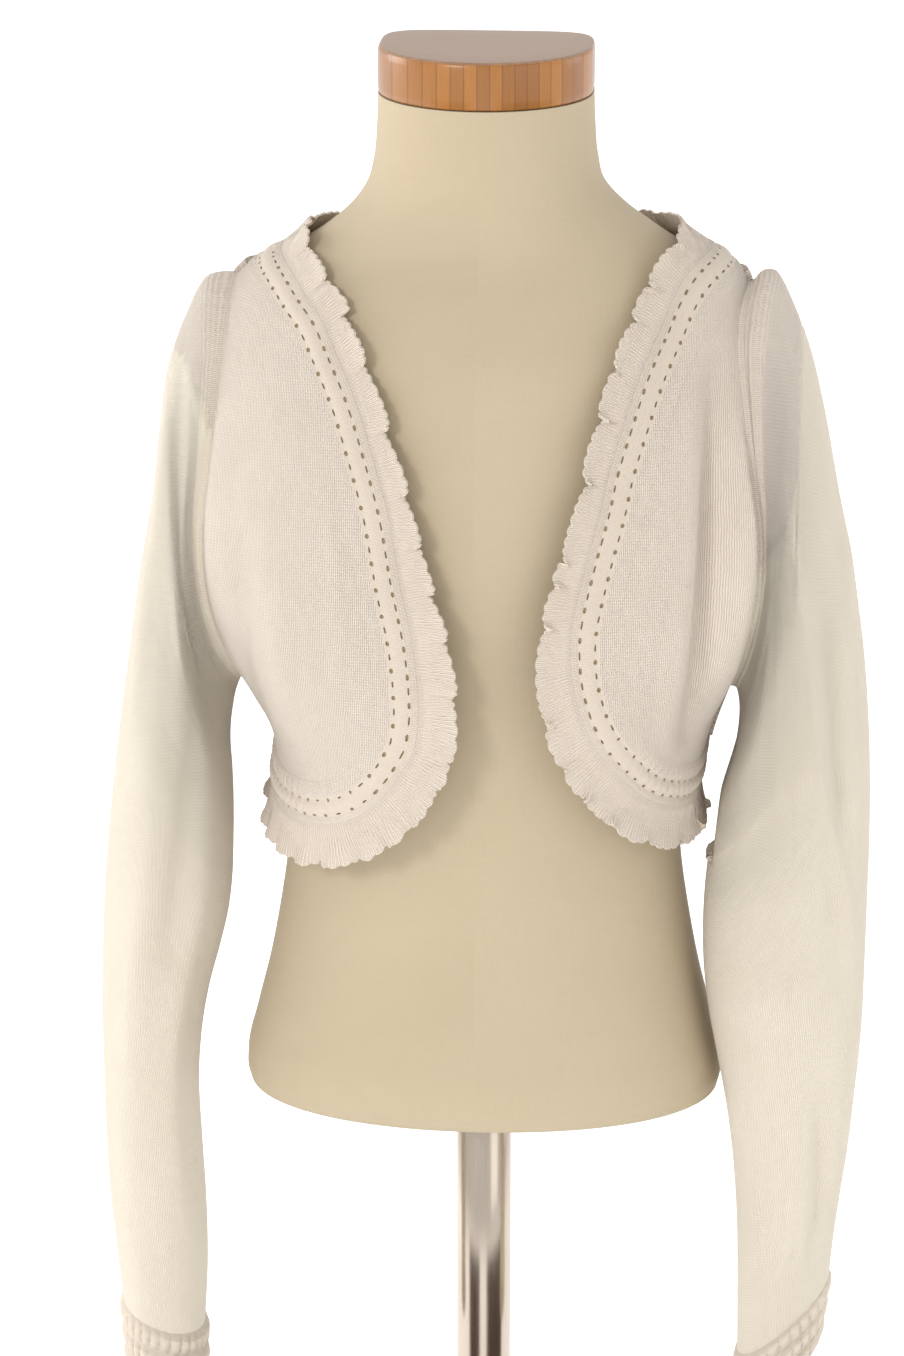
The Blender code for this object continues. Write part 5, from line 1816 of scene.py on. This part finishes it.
@dataclass
class DressForm:
    """The limbless form, its wooden neck cap, its pole and its base."""

    finishes: Finishes
    base_radius: float = 0.140
    base_thickness: float = 0.009
    boss_radius: float = 0.022
    boss_top: float = 0.021
    pole_radius: float = 0.0125
    cap_bottom: float = 0.8360
    cap_top: float = 0.8570
    around: int = 160
    edge_top: float = 0.385
    # Scales of the rings that close the form's ends
    inward: tuple[float, ...] = (0.002, 0.35, 0.7, 0.93)
    # Cap with its edges eased, from its underside.  Columns: scale, share of its height
    cap_steps: tuple[tuple[float, float], ...] = (
        (0.002, 0.0), (0.5, 0.0), (0.975, 0.0), (0.992, 0.02), (1.0, 0.06), (1.003, 0.2), (1.004, 0.5),
        (1.003, 0.8), (1.0, 0.91), (0.994, 0.955), (0.984, 0.982), (0.970, 0.996), (0.950, 1.0),
        (0.6, 1.0), (0.3, 1.0), (0.002, 1.0))

    def turned(self, name: str, profile: list[tuple[float, float]],
               finish: Material) -> Piece:
        """Turn a profile round the upright axis into a closed solid.

        Args:
            name: The piece's name.
            profile: Radius and height of each ring, from the bottom.
            finish: The material.

        Returns:
            The piece.
        """
        turn = np.linspace(0, 2 * math.pi, self.around, endpoint=False)
        rings = np.array([[(r * math.cos(t), r * math.sin(t), z) for t in turn] for r, z in profile])
        return self.stacked(name, rings, finish)

    def stacked(self, name: str, rings: Array, finish: Material) -> Piece:
        """Close a stack of rings into a solid; the first and last rings shrink to a point.

        Args:
            name: The piece's name.
            rings: The rings, from the bottom.
            finish: The material.

        Returns:
            The piece.
        """
        climb = np.r_[0.0, np.cumsum(np.linalg.norm(np.diff(rings, axis=0), axis=-1).mean(1))]
        uv = np.stack(np.broadcast_arrays(ring_lengths(rings), climb[:, None]), -1).reshape(-1, 2)
        faces, places = grid_faces(*rings.shape[:2], closed=True)
        return mesh_object(name, rings.reshape(-1, 3), faces, uv[places], [finish])

    def sections(self, heights: Array, shrink: Array, level: Array) -> Array:
        """Place rings of the form or the cap.

        Args:
            heights: Heights at which FORM is read.
            shrink: Scale of each ring.
            level: Height at which each ring stands.

        Returns:
            The rings.
        """
        turn = np.linspace(0, 2 * math.pi, self.around, endpoint=False)
        signed = np.where(turn > math.pi, turn - 2 * math.pi, turn)
        rings = []
        for z, scale, stand in zip(heights, shrink, level):
            x, y = section(np.array(z), signed, FORM)
            rings.append(np.column_stack([x * scale, y * scale, np.full(self.around, stand)]))
        return np.array(rings)

    def cover(self) -> None:
        """Build the linen-covered form."""
        bottom, top, ends = FORM[0, 0], FORM[-1, 0], len(self.inward)
        heights = np.r_[np.full(ends, bottom), np.linspace(bottom, self.edge_top, 20)[:-1],
                        np.linspace(self.edge_top, top, 190), np.full(ends, top)]
        shrink = np.r_[self.inward, np.ones(len(heights) - 2 * ends), self.inward[::-1]]
        rings = self.sections(heights, shrink, heights)
        piece = self.stacked("dress_form", rings, self.finishes.linen)
        dress(piece, "form_body")

    def cap(self) -> None:
        """Build the D-shaped neck cap, with its edges eased."""
        shrink, share = np.array(self.cap_steps).T
        level = self.cap_bottom + (self.cap_top - self.cap_bottom) * share
        rings = self.sections(np.full(len(share), FORM[-1, 0]), shrink, level)
        dress(self.stacked("neck_cap_wood", rings, self.finishes.wood), "neck_cap")

    def stand(self) -> None:
        """Build the pole and the round base; each row is the radius and the height of a ring."""
        r, top, low = self.pole_radius, FORM[0, 0] + 0.001, self.boss_top - 0.002
        pole = [(0.0001, low), (r - 0.0004, low), (r, self.boss_top - 0.001), (r, 0.12), (r, 0.24),
                (r, top - 0.0004), (r - 0.0004, top), (0.0001, top)]
        dress(self.turned("pole_tube", pole, self.finishes.steel), "pole")
        edge, thick, boss = self.base_radius, self.base_thickness, self.boss_radius
        plate = [(0.0001, 0.0), (edge - 0.0020, 0.0), (edge - 0.0008, 0.0003), (edge, 0.0015),
                 (edge, thick - 0.0030), (edge - 0.0007, thick - 0.0013), (edge - 0.0022, thick - 0.0003),
                 (edge - 0.0050, thick), (edge * 0.6, thick + 0.0001), (boss + 0.0030, thick + 0.0003),
                 (boss + 0.0008, thick + 0.0008), (boss, thick + 0.0022), (boss, self.boss_top - 0.0018),
                 (boss - 0.0006, self.boss_top - 0.0006), (boss - 0.0018, self.boss_top),
                 (0.0001, self.boss_top)]
        dress(self.turned("base_plate", plate, self.finishes.plate), "base")

    def build(self) -> None:
        """Build the form, its cap and its stand."""
        self.cover()
        self.cap()
        self.stand()


@dataclass
class Studio:
    """Pale floor, soft light and the camera."""

    azimuth: float = 4.0
    tilt: float = 17.0
    distance: float = 2.6
    aim: Triple = (-0.01476, 0.0, 0.568)
    lens: float = 153.4
    sky: float = 0.86
    # Name, place, side m and power W of each soft light: a key, a weak fill and one beside each sleeve
    lamps: tuple[tuple[str, Triple, float, float], ...] = (
        ("key", (-1.5, -2.6, 1.9), 0.7, 31.0),
        ("fill", (2.2, -2.0, 1.2), 1.6, 6.82),
        ("rim_right", (-2.4, 0.7, 1.2), 1.3, 26.0),
        ("rim_left", (2.4, 0.9, 1.2), 1.3, 9.1))
    lamp_aim: Triple = (0.0, 0.0, 0.6)
    floor_half: float = 16.0
    # Name and the turns, in degrees from the front, between which each dark card lies
    cards: tuple[tuple[str, float, float], ...] = (("card_right", -58.0, -13.0), ("card_left", 16.0, 84.0))
    card_reach: tuple[float, ...] = (0.17, 0.6, 1.4, 3.0)

    def turned(self, point: Triple) -> Vector:
        """Turn a point of the camera's frame by its azimuth.

        Args:
            point: The point, with the camera in front of the object.

        Returns:
            The turned point.
        """
        a = math.radians(self.azimuth)
        x, y, z = point
        return Vector((x * math.cos(a) - y * math.sin(a), x * math.sin(a) + y * math.cos(a), z))

    def camera(self) -> None:
        """Place the camera at the photograph's angle."""
        data = bpy.data.cameras.new("camera")
        data.sensor_width = 36.0
        data.lens = self.lens
        data.clip_end = 100.0
        tilt = math.radians(self.tilt)
        target = self.turned(self.aim)
        ahead, above = self.distance * math.cos(tilt), self.distance * math.sin(tilt)
        spot = self.turned((self.aim[0], -ahead, self.aim[2] + above))
        placed = bpy.data.objects.new("camera", data)
        placed.location = spot
        placed.rotation_euler = (target - spot).to_track_quat("-Z", "Y").to_euler()
        bpy.context.scene.collection.objects.link(placed)
        bpy.context.scene.camera = placed

    def lamp(self, name: str, spot: Triple, size: float, power: float) -> None:
        """Hang one soft square light, aimed at the garment.

        Args:
            name: The light's name.
            spot: Where it hangs.
            size: Its side in metres.
            power: Its power in watts.
        """
        data = bpy.data.lights.new(name, "AREA")
        data.size = size
        data.energy = power
        placed = bpy.data.objects.new(name, data)
        placed.location = spot
        placed.rotation_euler = (Vector(self.lamp_aim) - Vector(spot)).to_track_quat("-Z", "Y").to_euler()
        bpy.context.scene.collection.objects.link(placed)

    def light(self) -> None:
        """Light the scene with an even sky and the soft lights."""
        world = bpy.data.worlds.new("studio")
        world.use_nodes = True
        background = world.node_tree.nodes["Background"]
        background.inputs["Color"].default_value = (1.0, 1.0, 1.0, 1.0)
        background.inputs["Strength"].default_value = self.sky
        bpy.context.scene.world = world
        for lamp in self.lamps:
            self.lamp(*lamp)
        view = bpy.context.scene.view_settings
        view.view_transform = "Standard"
        view.look = "None"

    def floor(self) -> None:
        """Lay the floor."""
        side = np.linspace(-self.floor_half, self.floor_half, 9)
        x, y = np.meshgrid(side, side)
        points = np.stack([x, y, np.full(x.shape, -0.0005)], -1).reshape(-1, 3)
        faces, __ = grid_faces(*x.shape)
        finish = FloorFinish("studio_floor", (0.92, 0.92, 0.92), 0.50).material()
        mesh_object("studio_floor", points, faces, points[faces][..., :2], [finish])

    def flags(self) -> None:
        """Lay two dark cards on the floor that only glossy metal reflects."""
        finish = FloorFinish("studio_card", (0.085, 0.055, 0.040), 0.0).material()
        for name, first, last in self.cards:
            turns = np.radians(np.linspace(first, last, 25))
            turn, reach = np.meshgrid(turns, self.card_reach, indexing="ij")
            points = np.stack([reach * np.sin(turn), -reach * np.cos(turn), np.full(turn.shape, 0.0005)], -1)
            points = points.reshape(-1, 3)
            faces, __ = grid_faces(*turn.shape)
            card = mesh_object(name, points, faces, points[faces][..., :2], [finish])
            card.visible_camera = False
            card.visible_diffuse = False
            card.visible_shadow = False

    def build(self) -> None:
        """Build the studio."""
        self.camera()
        self.light()
        self.floor()
        self.flags()


# Rings of each sleeve, one a station.  Columns as in Sleeve.table
SLEEVE_TABLES = {
    Side.RIGHT: np.array([
        (121.0, 0.7530, 112.5, 0.5665, 0.0, 44.5),
        (129.5, 0.7480, 113.0, 0.5630, -1.0, 44.0),
        (136.5, 0.7320, 114.0, 0.5570, -2.0, 43.5),
        (143.8, 0.7080, 114.5, 0.5480, -3.0, 43.0),
        (146.5, 0.6810, 115.0, 0.5390, -4.0, 42.5),
        (148.8, 0.6520, 115.0, 0.5300, -5.0, 42.0),
        (152.2, 0.6300, 114.5, 0.5200, -6.0, 41.5),
        (155.7, 0.6080, 114.0, 0.5100, -7.0, 41.0),
        (158.8, 0.5855, 113.8, 0.4990, -8.0, 40.5),
        (162.3, 0.5600, 114.0, 0.4860, -9.0, 40.0),
        (166.0, 0.5320, 114.6, 0.4720, -9.0, 39.0),
        (169.2, 0.5040, 116.5, 0.4570, -9.0, 38.0),
        (171.8, 0.4750, 120.5, 0.4400, -9.0, 36.5),
        (173.5, 0.4450, 125.5, 0.4210, -9.0, 35.0),
        (174.3, 0.4150, 129.3, 0.3990, -9.0, 33.5),
        (174.2, 0.3850, 131.0, 0.3740, -9.0, 32.0),
        (173.7, 0.3550, 130.0, 0.3460, -9.0, 31.0),
        (172.5, 0.3250, 128.4, 0.3160, -9.0, 30.0),
        (169.8, 0.2950, 128.0, 0.2850, -9.0, 29.0),
        (167.0, 0.2680, 129.6, 0.2545, -9.0, 28.0)]),
    Side.LEFT: np.array([
        (124.0, 0.7610, 112.5, 0.5665, 0.0, 44.5),
        (132.5, 0.7550, 113.0, 0.5630, -1.0, 44.0),
        (139.5, 0.7395, 113.5, 0.5570, -2.0, 43.5),
        (147.5, 0.7160, 113.0, 0.5480, -3.0, 43.0),
        (153.5, 0.6870, 111.5, 0.5380, -4.0, 42.5),
        (159.0, 0.6540, 109.0, 0.5280, -5.0, 42.0),
        (163.6, 0.6310, 106.5, 0.5180, -6.0, 41.0),
        (167.0, 0.6080, 104.5, 0.5070, -7.0, 40.0),
        (170.2, 0.5840, 102.5, 0.4960, -8.0, 39.0),
        (172.6, 0.5560, 101.0, 0.4830, -9.5, 38.0),
        (173.9, 0.5270, 100.0, 0.4690, -11.0, 36.5),
        (174.1, 0.4980, 99.8, 0.4540, -13.0, 35.0),
        (173.6, 0.4690, 100.6, 0.4380, -16.0, 33.5),
        (173.1, 0.4400, 103.2, 0.4190, -19.0, 32.0),
        (172.2, 0.4110, 107.4, 0.3980, -21.0, 31.0),
        (169.9, 0.3820, 112.0, 0.3730, -20.0, 30.0),
        (167.4, 0.3550, 115.4, 0.3450, -18.0, 29.5),
        (164.2, 0.3300, 117.4, 0.3130, -16.0, 29.0),
        (161.6, 0.3080, 118.0, 0.2810, -15.0, 28.5),
        (160.0, 0.2890, 118.3, 0.2515, -14.0, 28.0)]),
}
# How far the top of each sleeve's head rises over the armhole, m
HEAD_PUFF = {Side.RIGHT: 0.0020, Side.LEFT: 0.0080}
# Seam where the body's knit ends on each sleeve.  Columns: distance from the middle mm, height m
HEAD_SEAM = {
    Side.RIGHT: np.array([
        (110.0, 0.6550), (117.0, 0.6800), (119.0, 0.7010), (125.0, 0.7130), (131.0, 0.7220),
        (146.0, 0.7180)]),
    Side.LEFT: np.array([
        (110.0, 0.6020), (120.0, 0.6200), (125.0, 0.6380), (135.0, 0.6520), (139.0, 0.6740),
        (140.0, 0.8000)]),
}
# Creases of each sleeve.  Columns as in Sleeve.creases
SLEEVE_CREASES = {
    Side.RIGHT: np.array([
        (26.0, 1.7, 104.0, 4.0, 24.0, -3.0),
        (30.0, 3.0, 104.0, 5.4, 22.0, 1.4),
        (38.0, 1.8, 42.0, 9.5, 12.0, 3.0),
        (94.0, 2.0, 98.0, 7.5, 14.0, 3.4),
        (112.0, 5.5, 104.0, 12.5, 13.0, -6.0),
        (84.0, 9.5, 76.0, 15.0, 16.0, 2.6),
        (128.0, 9.0, 124.0, 17.0, 13.0, 1.6),
        (-70.0, 2.0, -84.0, 9.0, 16.0, -2.6),
        (-110.0, 6.0, -96.0, 14.0, 15.0, 2.0)]),
    Side.LEFT: np.array([
        (77.0, 2.6, 67.0, 9.8, 7.0, 4.5),
        (102.0, 2.4, 96.0, 10.5, 10.0, -5.0),
        (53.0, 3.2, 50.0, 13.0, 12.0, -5.0),
        (70.0, 8.4, 34.0, 12.6, 7.0, 3.6),
        (48.0, 0.8, 56.0, 2.6, 20.0, -2.0),
        (62.0, 14.2, 54.0, 18.2, 12.0, -3.8),
        (88.0, 13.5, 78.0, 18.0, 16.0, 1.6),
        (-74.0, 2.0, -88.0, 9.5, 16.0, -2.4),
        (-112.0, 6.0, -98.0, 14.0, 15.0, 2.0)]),
}
# Lower end of each cuff
CUFF_ENDS = {
    Side.RIGHT: (164.6, 0.2350, 130.2, 0.2215, -9.0, 26.0),
    Side.LEFT: (155.8, 0.2580, 117.6, 0.2240, -14.0, 26.5),
}
# Width of the ruffle along each run.  Columns: share of the run, width mm
RUFFLE_WIDTHS = {
    Run.RIGHT: np.array([
        (0.0, 17.0), (0.05, 15.0), (0.12, 13.0), (0.18, 13.5), (0.22, 11.8), (0.28, 11.4), (0.36, 11.8),
        (0.42, 12.5), (0.48, 15.0), (0.55, 17.0), (0.65, 18.0), (0.8, 19.0), (1.0, 17.0)]),
    Run.LEFT: np.array([
        (0.0, 17.0), (0.05, 14.0), (0.12, 14.0), (0.2, 14.0), (0.28, 12.5), (0.36, 11.5), (0.45, 11.7),
        (0.55, 13.8), (0.65, 16.8), (0.8, 19.0), (1.0, 17.0)]),
    Run.NECK: np.array([(0.0, 16.5), (0.1, 12.5), (0.2, 10.8), (0.8, 10.8), (0.9, 12.5), (1.0, 16.5)]),
    Run.HEM: np.array([(0.0, 17.0), (0.2, 18.5), (0.8, 18.5), (1.0, 17.0)]),
}
# Lengths of the ruffle's waves along each run, from its first end (mm, scaled to fit)
WAVES = {
    Run.RIGHT: (26, 24, 18, 26, 28, 29, 23, 21, 21, 24, 26, 10, 19, 11, 12, 18, 14, 17, 15, 16, 13.5),
    Run.LEFT: (25, 25, 15, 25, 20, 27, 36, 9, 18, 40, 18, 14, 16, 20, 22, 19, 22),
    Run.NECK: (20, 24, 19, 22, 26, 21, 18, 23, 20, 25, 19),
    Run.HEM: (18, 22, 15, 25, 21, 17, 24, 13, 23, 18, 21, 19, 24, 14),
}
# How each front's trim hangs, by TrimRun's fields
FRONT_TRIM = {
    Side.RIGHT: {"welted": (0.74, 1.3), "lift_high": 0.0052, "curl": 0.0012, "notch": 0.0046},
    Side.LEFT: {"welted": (0.70, 1.3), "lift_high": 0.0040, "curl": 0.0048, "notch": 0.0066,
                "lobe_lean": 1.15, "lobe_power": 0.42},
}


def main() -> None:
    """Build every sub-assembly in order."""
    logging.basicConfig(level=logging.INFO, format="%(name)s %(message)s")
    Studio().build()
    finishes = Finishes()
    DressForm(finishes).build()
    surface = BodySurface()
    panels = BodyPanels(surface, finishes)
    seams = {side: panels.front(side) for side in Side}
    neck_line, hem_line = panels.back()
    for side in Side:
        Sleeve(side, finishes, SLEEVE_TABLES[side], SLEEVE_CREASES[side], CUFF_ENDS[side]).build()
        run = Run(side.value)
        TrimRun(run, surface, finishes, seams[side], (-side.sign, 0, 0),
                ((side.sign, True), (side.sign, False)), WAVES[run], RUFFLE_WIDTHS[run],
                **FRONT_TRIM[side]).build()
    TrimRun(Run.NECK, surface, finishes, neck_line, (0, 0, 1), ((-1, True), (1, True)), WAVES[Run.NECK],
            RUFFLE_WIDTHS[Run.NECK], lift_high=0.0030, notch=0.0014, lobe_lean=1.2).build()
    TrimRun(Run.HEM, surface, finishes, hem_line, (0, 0, -1), ((-1, False), (1, False)), WAVES[Run.HEM],
            RUFFLE_WIDTHS[Run.HEM], welted=(-0.3, 1.3), curl=0.0020, lobe_lean=1.4).build()


if __name__ == "__main__":
    main()
